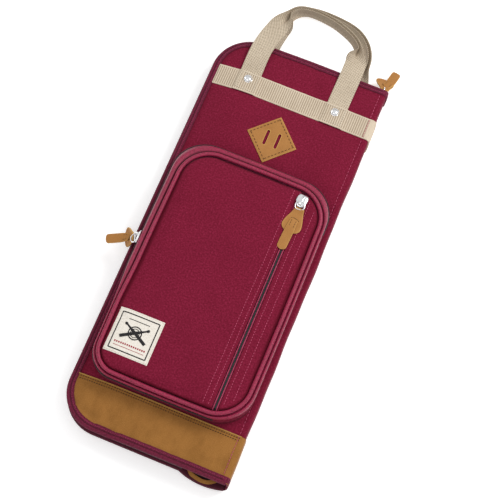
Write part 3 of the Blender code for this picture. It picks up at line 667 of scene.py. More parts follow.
def settle(points, pinned, pressure, stretch, cap):
    """Lets a padded panel's cloth settle under air pressure, and returns how far each point moved along z."""
    n, m = points.shape[:2]
    i, j = np.meshgrid(np.arange(n - 1), np.arange(m - 1), indexing="ij")
    quads = np.stack([i * m + j, i * m + j + 1, (i + 1) * m + j + 1, (i + 1) * m + j], -1).reshape(-1, 4)
    mesh = bpy.data.meshes.new("settling")
    mesh.from_pydata((points.reshape(-1, 3) * MM).tolist(), [], quads.tolist())
    cloth = bpy.data.objects.new("settling", mesh)
    bpy.context.scene.collection.objects.link(cloth)
    group = cloth.vertex_groups.new(name="seams")
    group.add(np.flatnonzero(pinned.ravel()).tolist(), 1.0, "ADD")
    settings = cloth.modifiers.new("Cloth", "CLOTH").settings
    settings.vertex_group_mass = "seams"
    settings.quality = 6
    settings.mass = 0.2
    settings.use_pressure = True
    settings.uniform_pressure_force = pressure
    settings.shrink_min = -stretch
    settings.effector_weights.gravity = 0
    for frame_number in range(1, 21):
        bpy.context.scene.frame_set(frame_number)
    settled = cloth.evaluated_get(bpy.context.evaluated_depsgraph_get()).to_mesh()
    moved = np.array([v.co.z for v in settled.vertices]).reshape(n, m) / MM - points[..., 2]
    bpy.data.objects.remove(cloth)
    bpy.data.meshes.remove(mesh)
    bpy.context.scene.frame_set(1)
    return cap * np.tanh(moved / cap)


front = Half("front", 1, slope=10.0, tuck=5.0)
back = Half("back", -1, slope=4.0, tuck=3.0)

for half in (front, back):
    xs, ys = half.plan()
    seams = np.zeros(xs.shape, bool)
    seams[[0, -1]] = seams[:, [0, 1, -1]] = True
    seams |= abs(ys - SUEDE_TOP) < 3
    seams |= (ys > BAND_LOW - 2) & (ys < BAND_HIGH + 2)
    if half is front:
        seams |= inset(xs, ys, POCKET_LOW[:2], POCKET_HIGH[:2], 38) > -2
    moved = settle(half.on(plan_of(xs, ys)), seams, 4.0 * half.out, 0.012, 2.4)
    half.relief = moved * half.out if half is front else np.minimum(moved * half.out, 0.1)

# A binding wraps a half's edge: a rib at the rim and two lips, 8 mm wide on the face.
BINDING_PROFILE = [(8.2, 0.5), (7.7, 1.0), (6.4, 1.2), (4.6, 1.15), (3.4, 0.75), (2.5, 1.3), (1.2, 1.35),
                   (0.0, 0.5), (-0.7, -1.2), (-0.6, -3.2), (0.1, -4.6), (1.2, -5.6), (3.4, -6.6), (6.6, -7.1),
                   (6.6, -6.7), (3.8, -6.1), (2.2, -5.1), (1.5, -4.3), (1.1, -3.2), (0.9, -1.6), (1.2, -0.5),
                   (2.0, 0.2), (3.4, 0.25), (4.6, 0.25), (5.6, 0.25), (6.6, 0.25), (7.6, 0.2), (8.1, 0.25)]
# Painted shade for each point of the binding's profile: at its inner edge on the face, in the groove between
# its lips and on its underside.
BINDING_PAINTED_SHADE = [0.85, 0.35, 0, 0, 0.8, 0, 0, 0, 0, 0.05, 0.3, 0.8] + [0.8] * (len(BINDING_PROFILE) - 12)
LEG_HALF = 12.5  # half the width of a handle's strap
LEGS = (box("front_handle")[0][0] + LEG_HALF, box("front_handle")[1][0] - LEG_HALF)


def band_lift(half, x):
    """How far the webbing band stands off the cloth: more where it covers a handle's sewn end."""
    over_leg = sum(ease((15.5 - abs(np.asarray(x, float) - leg)) / 3.5) for leg in LEGS)
    return (0.95 + 1.35 * over_leg) if half.out > 0 else (0.45 + 1.05 * over_leg)


def body_half(half):
    """Everything that is sewn to one half."""
    name, body, out = half.name, half.body, half.out
    xs, ys = half.plan()
    # painted shade on the panel beside the binding on the left and beside the spine seam
    soil = both(0.55 * falloff(xs - left_edge(ys, 0) - 7, 6, 1) + 0.3 * falloff(SHELL_RIGHT - xs, 5, 1))
    thick = half.padding(xs, ys)
    add(name + "_padded_panel", half.layer(xs, ys, 0.0, -thick), CANVAS, body, "canvas", name + "_cover",
        name + "_foam", fill=0.55, soil=soil)
    lining = half.layer(xs, ys, -thick - 0.1, -thick - 0.8)
    add(name + "_lining_cloth", lining, LINING, body, "lining", name + "_lining")
    rings = half.along_edge(BINDING_PROFILE)
    # painted shade on the binding; the back half's binding is darkened at least 0.6 all round for the shadow
    # of the front
    shade = np.tile(np.maximum(BINDING_PAINTED_SHADE, 0.0 if half is front else 0.6), len(rings))
    add(name + "_edge_binding", skin(rings), BINDING, body, "binding", name + "_binding", soil=shade)
    seam = half.along_edge([(5.4, 1.2)])[:, 0]
    seam = stitches(seam, (0, 0, out), 2.6, 2.3, 0.34, zigzag=0.8)
    add(name + "_binding_stitches", seam, THREAD_BINDING, body, "binding")

    # zip tape: upright cloth from under the binding to the teeth
    line = edge_line(1.9)
    line = line[np.where(line[:, 1] > 0, line[:, 0] < 95, line[:, 0] < 50)]
    low = MIDDLE + out * 1.0
    high = half.height(line[:, 0], line[:, 1]) - out * 4.6
    side = sideways(line)
    levels = low + (high - low)[:, None] * np.linspace(0, 1, 5)
    bulge = np.array([0.9, 0.6, 0.4, 0.6, 1.0])
    rings = [np.concatenate([(line[:, None] + (bulge + extra)[None, :, None] * side[:, None])[..., :2],
                             levels[..., None]], -1) for extra in (0.0, 0.9)]
    add(name + "_zip_cloth", skin(sheet_rings(*rings)), TAPE, body, "zip_tape", name + "_zip_tape")
    teeth_line = line + [0, 0, MIDDLE + out * 0.95]
    teeth = coil(teeth_line + 0.3 * side, 1.05, 1.7)
    add(name + "_zip_coil", teeth, COIL, body, "zip_coil", name + "_zip_teeth")

    # suede base, its turned top edge and its two rows of stitches
    ys = np.r_[row_levels(SUEDE_HEM)[:CORNER_ROWS], np.linspace(-SIDE_CORNER, SUEDE_TOP, 5)[1:]][:, None]
    left, right = left_edge(ys, SUEDE_HEM), SHELL_RIGHT - 0.5
    xs = left + (right - left) * np.linspace(0, 1, 46)
    lift = 0.9 if half is front else 0.35
    # painted shade along the suede's left and bottom edges, beside the binding
    soil = both(0.35 * falloff(xs - left, 5, 1) + 0.25 * falloff(ys + HALF - 7, 5, 1))
    base = half.layer(xs, ys, lift, lift - 1.0)
    add(name + "_suede_base", base, SUEDE, body, "suede", name + "_suede", soil=soil)
    across = np.linspace(left_edge(SUEDE_TOP, SUEDE_HEM), right, 60)
    top = half.on(np.c_[across, np.full(60, SUEDE_TOP - 0.2)], lift - 0.1)
    add(name + "_suede_edge", tube(top, 0.75), SUEDE, body, "suede", edge=np.full(480, 0.55))
    rows = []
    for y in (SUEDE_TOP - 2.2, SUEDE_TOP - 5.0):
        across = np.linspace(left_edge(y, SUEDE_HEM + 2), SHELL_RIGHT - 1.5, 60)
        rows.append(half.sewn(np.c_[across, np.full(60, y)], lift, 2.9, 1.7, 0.48))
    add(name + "_suede_stitches", merge(rows), THREAD_DARK, body, "suede")

    # webbing band across the half, ribbed along y, with a plain selvedge on each side
    xs = np.arange(LEFT + 7.6, SHELL_RIGHT - 0.5, 0.5)[:, None]
    ys = np.r_[BAND_LOW, BAND_LOW + 0.5, BAND_LOW + 1.2, np.linspace(BAND_LOW + 1.9, BAND_HIGH - 1.9, 7),
               BAND_HIGH - 1.2, BAND_HIGH - 0.5, BAND_HIGH]
    off_middle = abs(ys - (BAND_LOW + BAND_HIGH) / 2)
    rib = np.cos(xs * 2 * np.pi / 2.6)
    over = band_lift(half, xs)
    top = over + np.where(off_middle > 11.5, 0.12, 0.28 * rib) - 0.35 * (off_middle > 12.9)
    # painted shade in the valleys between the band's ribs
    soil = both(np.where(off_middle > 11.5, 0.0, 0.75 * ease((0.1 - rib) / 1.0)))
    band = half.layer(xs, ys, top, over - 0.8)
    add(name + "_webbing_band", band, WEBBING, body, "webbing", name + "_webbing", soil=soil)


# Between the zip's end and the spine the back half's lower edge hangs out past the front's.
LOOSE_FROM, LOOSE_TO, LOOSE_REACH = 46.0, 103.0, 5.6


def hang(piece):
    """Lets the lower edge of a visible piece of the back half hang out at its loose end."""
    co = np.empty(3 * len(piece.data.vertices), np.float32)
    piece.data.vertices.foreach_get("co", co)
    x, y = co[0::3] / MM, co[1::3] / MM
    share = np.clip((x - LOOSE_FROM) / (LOOSE_TO - LOOSE_FROM), 0, 1)
    co[1::3] -= LOOSE_REACH * MM * np.sin(np.pi * share).clip(0) ** 0.75 * ease((-222 - y) / 26)
    piece.data.vertices.foreach_set("co", co)


body_half(front)
made = len(PIECES)
body_half(back)
for piece in PIECES[made:]:
    hang(piece)


# ------------------------------------------------------------ the spine, in two parts
def spine_section(half, y, lift):
    """Outer points of the spine's roll at one y, from the seam on the face round to the middle level."""
    top = float(half.height(SHELL_RIGHT - 1, y)) + half.out * (0.25 + lift)
    a = np.linspace(0, np.pi / 2, 8)
    radius = ROLL + lift
    x = np.r_[SHELL_RIGHT - 2.2, SHELL_RIGHT - 1, SHELL_RIGHT + radius * np.sin(a)]
    z = np.r_[top, top, top - half.out * (radius - radius * np.cos(a))]
    x = np.r_[x, np.full(5, x[-1]) + 0.5 * np.sin(np.linspace(0.3, 1.57, 5))]
    z = np.r_[z, np.linspace(z[-1], MIDDLE, 6)[1:]]
    sway = 0.35 * np.sin(y / 23 + 1) + 0.22 * np.sin(y / 9.5)
    x = x + sway * ease((x - SHELL_RIGHT) / ROLL)
    return np.c_[x, np.full(len(x), y), z]


def spine_piece(name, half, node, ys, lifts, depths, look, slot):
    """A layer of the spine between two lifts off its roll; its placement is baked into its mesh."""
    rings = [np.vstack([spine_section(half, *outer), spine_section(half, *inner)[::-1]])
             for outer, inner in zip(np.broadcast(ys, lifts), np.broadcast(ys, depths))]
    piece = build(f"{name}_{half.name}", skin(np.array(rings)), look)
    if half is back:
        hang(piece)
    place(piece, None, slot, *([node] if half is front else []))
    if half is front:
        span(piece)
    else:
        span(piece)


for half in (front, back):
    ys = np.r_[-HALF + 0.5, np.linspace(-HALF + 3, HALF - 3, 100), HALF - 0.5]
    spine_piece("spine_canvas", half, "spine_cover", ys, 0.0, -1.5, CANVAS, "canvas")
    ys = np.linspace(-HALF + 1, SUEDE_TOP, 20)
    spine_piece("spine_suede", half, "spine_suede", ys, 1.0, 0.1, SUEDE, "suede")
    ys = np.arange(BAND_LOW, BAND_HIGH + 0.1, 1.0)
    spine_piece("spine_webbing", half, "spine_webbing", ys, 1.2, 0.1, WEBBING, "webbing")
    for end, y in (("spine_binding_top", HALF), ("spine_binding_bottom", -HALF)):
        ys = y - np.sign(y) * np.array([0.0, 0.6, 3.0, 6.0, 7.6, 8.0])
        lifts = np.array([0.2, 0.9, 1.1, 1.2, 1.2, 0.7])
        spine_piece(end, half, end, ys, lifts, np.minimum(lifts, 0.9) - 0.8, BINDING, "binding")
    # stitches beside the spine, on the cloth and then on the suede and the webbing
    seam_x = SHELL_RIGHT - 3.4
    spans = np.linspace(SUEDE_TOP + 2, BAND_LOW - 1, 90), np.linspace(BAND_HIGH + 1, HALF - 9, 12)
    rows = [stitches(half.upright(seam_x, ys), (0, 0, half.out), 4.2, 2.8, 0.32) for ys in spans]
    add("spine_topstitch_" + half.name, merge(rows), THREAD, half.body, "canvas")
    spans = np.linspace(-HALF + 9, SUEDE_TOP - 1, 20), np.linspace(BAND_LOW + 1, BAND_HIGH - 1, 20)
    rows = [stitches(half.upright(seam_x, ys, 1.3), (0, 0, half.out), 3.4, 2.4, 0.34) for ys in spans]
    add("spine_seam_stitch_" + half.name, merge(rows), THREAD, half.body, "canvas")


# ------------------------------------------------------------ the suede turned in at the loose end
curl = spline([(53, -246.8, 10.6), (62, -250.4, 12.4), (72, -252.4, 13.2), (80, -251.4, 13.4),
               (86, -247.6, 12.8), (90, -242.0, 11.0)])
add("back_suede_turning", strip(curl, 4.6, 0.9, 8, up=(0, -0.5, 0.86)), SUEDE, "back_half", "suede")

# ------------------------------------------------------------ handles
GRIP_TILT = 62  # degrees that the folded grip leans
SPACING = 1.6  # between a strap's cross-sections


def handle(name, points, rise, fall):
    """A strap whose legs lie flat and whose grip is folded lengthwise. The fold sets in over the rise and
    ends over the fall, each a pair of distances along the strap."""
    line = walk(spline(points, 9), SPACING)
    length = SPACING * np.arange(len(line))
    start, end = [ease((length - low) / (high - low)) for low, high in (rise, fall)]
    fold = (start * (1 - end))[:, None]
    s = np.linspace(-LEG_HALF, LEG_HALF, 25)
    angle = fold * np.radians(160) * np.clip(s / 2.0, 0, 1)  # the fold line is rounded, not a crease
    w = np.where(s < 0, s, 0) + np.where(s > 0, s * np.cos(angle), 0) + 5.6 * fold
    n = np.where(s > 0, s * np.sin(angle), 0)
    tilt = fold * np.radians(GRIP_TILT)  # its open side is up
    w, n = w * np.cos(tilt) + n * np.sin(tilt), n * np.cos(tilt) - w * np.sin(tilt)
    middle = line[:, None] + w[..., None] * sideways(line)[:, None] + n[..., None] * np.array([0, 0, 1.0])
    middle[..., 2] += np.maximum(0.9 - middle[..., 2].min(1), 0)[:, None]  # never below what the bag lies on
    normal = unit(np.cross(directions(line)[:, None], unit(np.gradient(middle, axis=1))))
    half_thick = np.where(abs(s) > 11.8, 0.4, 0.6)[None, :, None]
    rings = sheet_rings(middle + normal * half_thick, middle - normal * half_thick)
    # painted shade on the strap's thin edges and inside the grip's fold
    soil = 0.15 * (abs(s) > 11.9) + 0.2 * fold * (s > 5)
    return add(name + "_strap", skin(rings), STRAP, None, "webbing", name, sharp=75, soil=both(soil))


front_z = box("front_handle")[0][2] + 2.0
left, right = LEGS
legs = [(BAND_LOW + 4, 0.75), (BAND_HIGH - 6, 0.75), (BAND_HIGH + 4, 0.95)]  # y, and lift off the front
grip = [(left - 0.2, 224, -0.7), (left + 0.4, 240, 0), (left + 3.3, 257, 0.4), (left + 7.2, 271, 0.4),
        (left + 11, 284, 0.4), (left + 15.5, 294.5, 0.6), (left + 23, 301.8, 0.8), (left + 35, 305.2, 0.8),
        (-6, 305.4, 0.8), (12, 303, 0.8), (26, 298.6, 0.8), (37.5, 293.6, 0.8), (right - 7, 287.6, 0.6),
        (right - 1.5, 280, 0.4), (right + 0.2, 268, 0.3), (right + 0.6, 250, 0), (right + 0.2, 226, -0.7)]
points = ([front.on([left, y], lift) for y, lift in legs] + [(x, y, front_z + z) for x, y, z in grip]
          + [front.on([right, y], lift) for y, lift in legs[::-1]])
span(handle("front_handle", points, (88, 114), (212, 232)))
back_z = 0.9
grip = [(left + 2, BAND_LOW + 4, 0.4), (left + 2, BAND_HIGH, 0.3), (left + 2.2, 228, 0), (left + 2.6, 250, 0),
        (left + 3.2, 268, 0.3), (left + 5.5, 285, 1.2), (left + 9.5, 300, 3.5), (left + 16, 313, 5.5),
        (left + 27, 321, 7), (-10, 324, 8), (14, 323.6, 8), (35, 320.2, 7.5), (49, 313.2, 6.5),
        (59, 302.5, 5), (64.6, 288, 3), (64.8, 270, 1.2), (61.6, 252, 0.2), (57, 230, 0),
        (right + 1, BAND_HIGH, 0.3), (right + 0.5, BAND_LOW + 4, 0.4)]
points = [(x, y, back_z + z) for x, y, z in grip]
span(handle("back_handle", points, (104, 130), (262, 288)))

# the boxes of stitches that hold the legs, and the rivets
RIVET = np.array([(0.03, 1.9), (1.2, 1.86), (2.4, 1.6), (3.3, 1.1), (3.8, 0.5), (4.1, -0.2), (4.4, 0.2),
                  (4.7, 0.55), (5.0, 0.4), (5.2, -0.6), (0.03, -0.6)])
for half in (front, back):
    lift = float(band_lift(half, LEGS[0])) + 0.15
    boxes, rivets = [], []
    for x in LEGS:
        low, high = (x - 11, BAND_LOW + 3.5), (x + 11, BAND_HIGH - 2)
        corners = [low, (high[0], low[1]), high, (low[0], high[1]), low]
        boxes += [half.sewn(densify(pair, 3.0), lift, 2.8, 1.9, 0.42) for pair in zip(corners, corners[1:])]
        where = half.on([x, (BAND_LOW + BAND_HIGH) / 2 + 4], lift - 0.1)
        cap = RIVET if half is front else np.minimum(RIVET, (np.inf, 0.4))  # flat where the bag lies on it
        rivets.append(lathe(cap * (1, half.out), where))
    add(half.name + "_handle_box_stitches", merge(boxes), THREAD_TAN, half.body, "webbing")
    for shape, side in zip(rivets, ("left", "right")):
        add(f"{half.name}_rivet_cap_{side}", shape, NICKEL, half.body, "nickel", f"rivet_{half.name}_{side}",
            sharp=40)


# ------------------------------------------------------------ leather lash patch
PATCH_LOW, PATCH_HIGH = box("lash_patch")
PATCH_X, PATCH_Y = (PATCH_LOW[:2] + PATCH_HIGH[:2]) / 2
PATCH_REACH = (PATCH_HIGH[0] - PATCH_LOW[0]) / 2
SLOT_HALF = (2.05, 9.9)  # half the width and half the length of a slot
SLOT_AT = 6.9  # from the middle of the patch


def stadium(x, y, half_width, half_length):
    """The outline of a slot along y with round ends."""
    r, reach = half_width, half_length - half_width
    return np.array([(x + end * r * np.cos(t), y + end * (reach + r * np.sin(t)), 0)
                     for end in (1, -1) for t in np.linspace(0, np.pi, 7)])


def cut(obj, outline, low, high):
    """Cuts an upright hole through a piece."""
    rings = np.stack([np.c_[outline[:, :2], np.full(len(outline), z)] for z in (low, high)])
    cutter = build("cutter", skin(rings), obj.data.materials[0])
    boolean = obj.modifiers.new("cut", "BOOLEAN")
    boolean.object, boolean.operation, boolean.solver = cutter, "DIFFERENCE", "EXACT"
    bpy.context.view_layer.update()
    mesh = bpy.data.meshes.new_from_object(obj.evaluated_get(bpy.context.evaluated_depsgraph_get()))
    obj.modifiers.clear()
    obj.data = mesh
    bpy.data.objects.remove(cutter)


u = np.r_[-PATCH_REACH, np.linspace(-PATCH_REACH + 0.3, PATCH_REACH - 0.3, 61), PATCH_REACH][:, None]
v = np.maximum(PATCH_REACH - abs(u), 0.02) * np.r_[-1, np.linspace(-0.985, 0.985, 39), 1]
rim = PATCH_REACH - abs(u) - abs(v)
patch = front.layer(PATCH_X + u, PATCH_Y + v, 1.5 - 0.6 * falloff(rim, 1.3, 2), -0.1)
patch = build("lash_patch_leather", patch, LEATHER, {"edge": both(0.85 * falloff(rim, 1.1, 1))}, sharp=70)
slot_rims = []
for side in (-1, 1):
    outline = stadium(PATCH_X + side * SLOT_AT, PATCH_Y, *SLOT_HALF)
    cut(patch, outline, FRONT - 12, FRONT + 8)
    slot_rims.append(tube(front.on(outline, 1.35), 0.32, closed=True))
place(patch, "front_half", "leather", "lash_patch")
rims = merge(slot_rims)
add("lash_patch_slot_rims", rims, LEATHER, "front_half", "leather", edge=np.full(len(rims[0]), 0.8))
d = PATCH_REACH - 4.2
corners = [(PATCH_X + a * d, PATCH_Y + b * d) for a, b in ((1, 0), (0, 1), (-1, 0), (0, -1), (1, 0))]
rows = [front.sewn(densify(pair, 2.0), 1.5, 4.3, 2.6, 0.36) for pair in zip(corners, corners[1:])]
add("lash_patch_stitches", merge(rows), THREAD_DARK, "front_half", "leather")


# ------------------------------------------------------------ the pocket and its lid
GROOVE_LOW, GROOVE_HIGH = (-77.5, -187.5), (84.5, 81.5)  # the face panel's sewn edge
GROOVE_MIDDLE = (GROOVE_LOW[1] + GROOVE_HIGH[1]) / 2  # along y
GROOVE_REACH = (GROOVE_HIGH[1] - GROOVE_LOW[1]) / 2
GROOVE_CORNER, TIGHT_CORNER, BOW, SWELL = 33.0, 22.0, 1.6, 2.0
BASE_LOW, BASE_HIGH = POCKET_LOW[:2] + [0, 0.3], POCKET_HIGH[:2] + [0.5, 0.5]
BASE_CORNER = 38.0
QUICK_HALF = 3.7  # half the gap between the folded edges beside the quick zip


def swell(x, y):
    """The pocket's lower left corner is stuffed out over its base, up to 1 here."""
    return ease((-60 - y) / 60) * ease((10 - x) / 60)


def groove_line(out):
    """The panel's edge moved outwards."""
    radii = np.array([GROOVE_CORNER, GROOVE_CORNER, TIGHT_CORNER, GROOVE_CORNER]) + out
    line = rounded(np.array(GROOVE_LOW) - out, np.array(GROOVE_HIGH) + out, radii, BOW, 3.0)
    line[:, 0] -= SWELL * swell(*line.T)
    return line


def base_line(out):
    """The outline of the pocket's base moved outwards."""
    radii = np.array([BASE_CORNER, BASE_CORNER, TIGHT_CORNER + 6, BASE_CORNER]) + out
    line = rounded(BASE_LOW - out, BASE_HIGH + out, radii, 0.8, 3.0)
    line[:, 0] += 4.0 * swell(*line.T)
    return line


def within(x, y):
    """How far a point of the plan lies inside the panel's edge."""
    x, y = np.broadcast_arrays(x, y)
    radius = np.where((x < 0) & (y < -50), TIGHT_CORNER, GROOVE_CORNER)
    return inset(x + SWELL * swell(x, y), y, GROOVE_LOW, GROOVE_HIGH, radius)


def level(line, z):
    return np.c_[line, np.broadcast_to(z, len(line))]

class PocketFace(Face):
    """The pocket's padded face."""

    def relief(self, x, y):
        """How far the cloth has settled."""
        return 0.0

    def height(self, x, y):
        d = np.maximum(within(x, y), 0)
        dome = 1.6 * (1 - falloff(d, 60, 2))
        roll = -3.2 * falloff(d, 3.4, 2.6)
        lip = 0.55 * falloff(abs(abs(x - QUICK_X) - QUICK_HALF - 1.2), 2.4, 2)
        dip = -0.5 * falloff(abs(x - QUICK_X), 14, 2)
        waves = 0.22 * np.sin(x / 15 + 1.1 * np.sin(y / 37)) * np.sin(y / 27 + 0.4) * ease(d / 25)
        return FACE - 1.7 + dome + roll + lip + dip + waves + self.relief(x, y)


face = PocketFace()


def groove_edges(y):
    """x of the panel's left and right edges at y."""
    over = abs(y - GROOVE_MIDDLE) - GROOVE_REACH
    left_corner = np.where(y < GROOVE_MIDDLE, TIGHT_CORNER, GROOVE_CORNER)
    bow = BOW * (1 - ((y - GROOVE_MIDDLE) / GROOVE_REACH) ** 2)
    left = GROOVE_LOW[0] + round_off(over + left_corner, left_corner) - bow - SWELL * swell(GROOVE_LOW[0], y)
    return left, GROOVE_HIGH[0] - round_off(over + GROOVE_CORNER, GROOVE_CORNER) + bow


def panel_plan(side):
    """Plan points of the panel on one side of the quick zip, -1 for its left."""
    top = GROOVE_REACH
    if side > 0:
        past = QUICK_X + QUICK_HALF - (GROOVE_HIGH[0] - GROOVE_CORNER)
        top = GROOVE_REACH - GROOVE_CORNER + np.sqrt(GROOVE_CORNER ** 2 - past ** 2)
    corner_start = GROOVE_REACH - GROOVE_CORNER
    ends = corner_start + (top - corner_start) * np.sin(np.linspace(0, np.pi / 2, 16))
    ys = GROOVE_MIDDLE + np.r_[-ends[::-1], np.linspace(-corner_start, corner_start, 46)[1:-1], ends]
    ys = ys[:, None]
    left, right = groove_edges(ys)
    if side < 0:
        right = np.minimum(right, QUICK_X - QUICK_HALF)
        t = np.r_[0, 0.004, 0.01, 0.02, 0.035, np.linspace(0.06, 0.955, 30), 0.975, 0.988, 1]
    else:
        left = np.full_like(left, QUICK_X + QUICK_HALF)
        right = np.maximum(right, left + 0.3)
        t = np.r_[0, 0.04, 0.1, np.linspace(0.18, 0.84, 8), 0.91, 0.96, 1]
    xs = left + (right - left) * t
    return xs, np.broadcast_to(ys, xs.shape)


xs, ys = panel_plan(-1)
pinned = np.zeros(xs.shape, bool)
pinned[[0, 1, -2, -1]] = pinned[:, [0, 1, 2, -2, -1]] = True
moved = settle(face.on(plan_of(xs, ys)), pinned, 4.0, 0.012, 1.8)
levels, first, last = ys[:, 0], xs[:, 0], xs[:, -1]
share = (xs[30] - xs[30, 0]) / (xs[30, -1] - xs[30, 0])

def settled_relief(x, y):
    """How far the cloth left of the quick zip has settled."""
    x, y = np.broadcast_arrays(np.asarray(x, float), np.asarray(y, float))
    low, high = np.interp(y, levels, first), np.interp(y, levels, last)
    row = np.interp(y, levels, np.arange(len(levels)))
    column = np.interp((x - low) / (high - low), share, np.arange(len(share)))
    return sample(moved, row, column) * (x <= high + 0.01)
face.relief = settled_relief

for side, label, nodes in ((-1, "left", ["pocket_panel"]), (1, "right", [])):
    xs, ys = panel_plan(side)
    d = within(xs, ys)
    # painted shade in the groove at the panel's sewn edge and beside the quick zip's folds
    soil = both(0.95 * falloff(d, 2.8, 1) + 0.5 * falloff(abs(xs - QUICK_X) - QUICK_HALF, 1.4, 1))
    panel = face.layer(xs, ys, 0.0, -2.0 - 0.6 * ease(d / 8))
    add("pocket_face_" + label, panel, CANVAS, "pocket_lid", "canvas", *nodes, fill=0.4, soil=soil)

# piping, with a joint where its ends meet
PIPE_Z = FACE - 3.1
line = level(groove_line(2.55), PIPE_Z)
add("pocket_piping_tube", tube(line, 2.3, 18, closed=True), PIPING, "pocket_lid", "piping", "pocket_piping")
joint_at = np.argmin(np.hypot(line[:, 0] + 28, line[:, 1] + 190))
joint = tube(line[joint_at - 1:joint_at + 2], 2.5, 18)
add("pocket_piping_joint", joint, PIPING, "pocket_lid", "piping", sharp=50)

# tape sewn over the seam inside the lid, where the face, the piping and the wall meet
seam = level(groove_line(0.6), FACE - 7.3)
add("pocket_seam_tape", strip(seam, 8.6, 0.9, closed=True), BINDING, "pocket_lid", "binding")

# the lid's wall, from under the piping out to the zip
AROUND = 300  # cross-sections round the pocket
upper, lower = resample(groove_line(4.7), AROUND), resample(base_line(0.0), AROUND)
lower = np.roll(lower, -np.argmin(((lower - upper[0]) ** 2).sum(1)), 0)
outward = sideways(level(upper, 0), True)[:, None]
t = np.linspace(0, 1, 15)[:, None]
plan = upper[:, None] * (1 - t) + lower[:, None] * t
drop = np.interp(t, [0, 0.1, 0.2, 0.33, 0.48, 0.65, 0.82, 1], [7.6, 5.6, 4.9, 4.7, 5.7, 8.0, 10.8, 13.6])
outer = plan + 2.0 * np.sin(np.pi * t) ** 0.8 * outward[..., :2]
outer = np.concatenate([outer, np.broadcast_to(FACE - drop, (AROUND, 15, 1))], -1)
inner = outer - 1.4 * unit(outward + [0, 0, 0.9])
# painted shade where the wall tucks under the piping and where it meets the zip
soil = np.tile(np.r_[1, 0.95, 0.35, np.zeros(9), 0.15, 0.5, 0.9, np.zeros(15)], AROUND)
add("pocket_front_wall", skin(sheet_rings(outer, inner), closed=True), PIPING, "pocket_lid", "piping",
    "pocket_front_gusset", soil=soil)

# the base's wall, from the front half up to the zip
wall = resample(base_line(0.0), AROUND)
outward = sideways(level(wall, 0), True)[:, None]
foot = front.height(wall[:, 0], wall[:, 1])[:, None] - 0.8
t = np.linspace(0, 1, 8)
height = foot + (POCKET_ZIP - 0.9 - foot) * t
sag = (-0.9 * np.sin(np.pi * t) + 0.8 * (1 - t))[:, None]
outer = np.concatenate([(wall[:, None] + sag * outward[..., :2]), height[..., None]], -1)
# painted shade at the wall's foot on the front half and a little at its top by the zip
soil = np.tile(np.r_[0.8, 0.5, 0.2, np.zeros(4), 0.3, np.zeros(8)], AROUND)
rings = sheet_rings(outer, outer - 1.3 * outward)
add("pocket_rear_wall", skin(rings, closed=True), CANVAS, "front_half", "canvas", "pocket_rear_gusset",
    soil=soil)

# the pocket zip: tapes and teeth from high on the right side round to the bottom's right end
ZIP_START, ZIP_END = 45.0, 62.0  # y on the right side and x on the bottom
line = resample(base_line(0.3), 460)
line = np.roll(line, -np.argmin(np.hypot(line[:, 0] - BASE_HIGH[0], line[:, 1] - ZIP_START)), 0)
stop = np.argmin(np.hypot(line[:, 0] - ZIP_END, line[:, 1] - BASE_LOW[1]) + 200 * (line[:, 1] > -150))
for name, body, out in (("pocket_front", "pocket_lid", 1), ("pocket_rear", "front_half", -1)):
    path = level(line[:stop], POCKET_ZIP + out * 0.85)
    side = sideways(path)
    add(name + "_zip_cloth", strip(path - 1.0 * side, 2.6, 1.2), TAPE, body, "zip_tape", name + "_zip")
    path = level(line[:stop], POCKET_ZIP + out * 0.62)
    add(name + "_zip_coil", coil(path + 0.35 * side, 0.8, 1.5), COIL_GREY, body, "zip_coil")

# the cloth that hinges the lid, from the zip's end up the right side to its start
hinge = np.vstack([line[stop - 1:], line[:1]])
side = sideways(level(hinge, 0))
outer = np.stack([level(hinge, POCKET_ZIP + h) + (0.5 - 0.7 * np.exp(-h * h)) * side
                  for h in np.linspace(-2.6, 2.6, 9)], 1)
cloth = skin(sheet_rings(outer, outer - 1.0 * side[:, None]))
cloth = add("pocket_hinge_cloth", cloth, CANVAS, None, "canvas")
span(cloth)

# lining inside the lid
add("pocket_face_lining", face.layer(*panel_plan(-1), -2.8, -3.3), LINING, "pocket_lid", "lining")

# ------------------------------------------------------------ quick zip on the face
quick_low, quick_high = box("quick_zip_left")
ys = np.linspace(quick_low[1] + 1.0, quick_high[1] - 0.5, 120)
for side, label in ((-1, "left"), (1, "right")):
    path = face.upright(QUICK_X + side * 1.95, ys, -1.2)
    tape = merge([strip(path, 1.7, 0.7), tube(path + [0, 0, 0.75], 0.6)])
    add(f"quick_zip_{label}_cloth", tape, TAPE_RED, "pocket_lid", "zip_tape", f"quick_zip_{label}")
    teeth = coil(face.upright(QUICK_X + side * 0.62, ys, -0.7), 0.68, 1.3)
    add(f"quick_zip_{label}_coil", teeth, COIL, "pocket_lid", "zip_coil")
    fold = face.upright(QUICK_X + side * (QUICK_HALF + 0.25), ys, -0.5)
    add(f"quick_fold_{label}", tube(fold, 0.65, 10), CANVAS, "pocket_lid", "canvas")
# a dark strip of tape under the slot, standing in as painted shadow in the gap between the folds
add("quick_zip_shadow_gap", strip(face.upright(QUICK_X, ys, -2.3), 9, 0.6), TAPE, "pocket_lid", "zip_tape")
rows = []
for low, high in ((44.4, 46.9), (50.8, 53.6), (66.2, 68.0), (74.4, 76.4)):  # x at the bottom and at the top
    ends = (-184 if low < 60 else -184 + 0.9 * (low - 60), 78 - 0.7 * max(0, high - 62))
    line = np.c_[np.linspace(low, high, 80), np.linspace(*ends, 80)]
    rows.append(face.sewn(line[within(*line.T) > 2.2], 0.0, 3.3, 2.0, 0.36))
add("quick_zip_stitches", merge(rows), THREAD, "pocket_lid", "canvas")

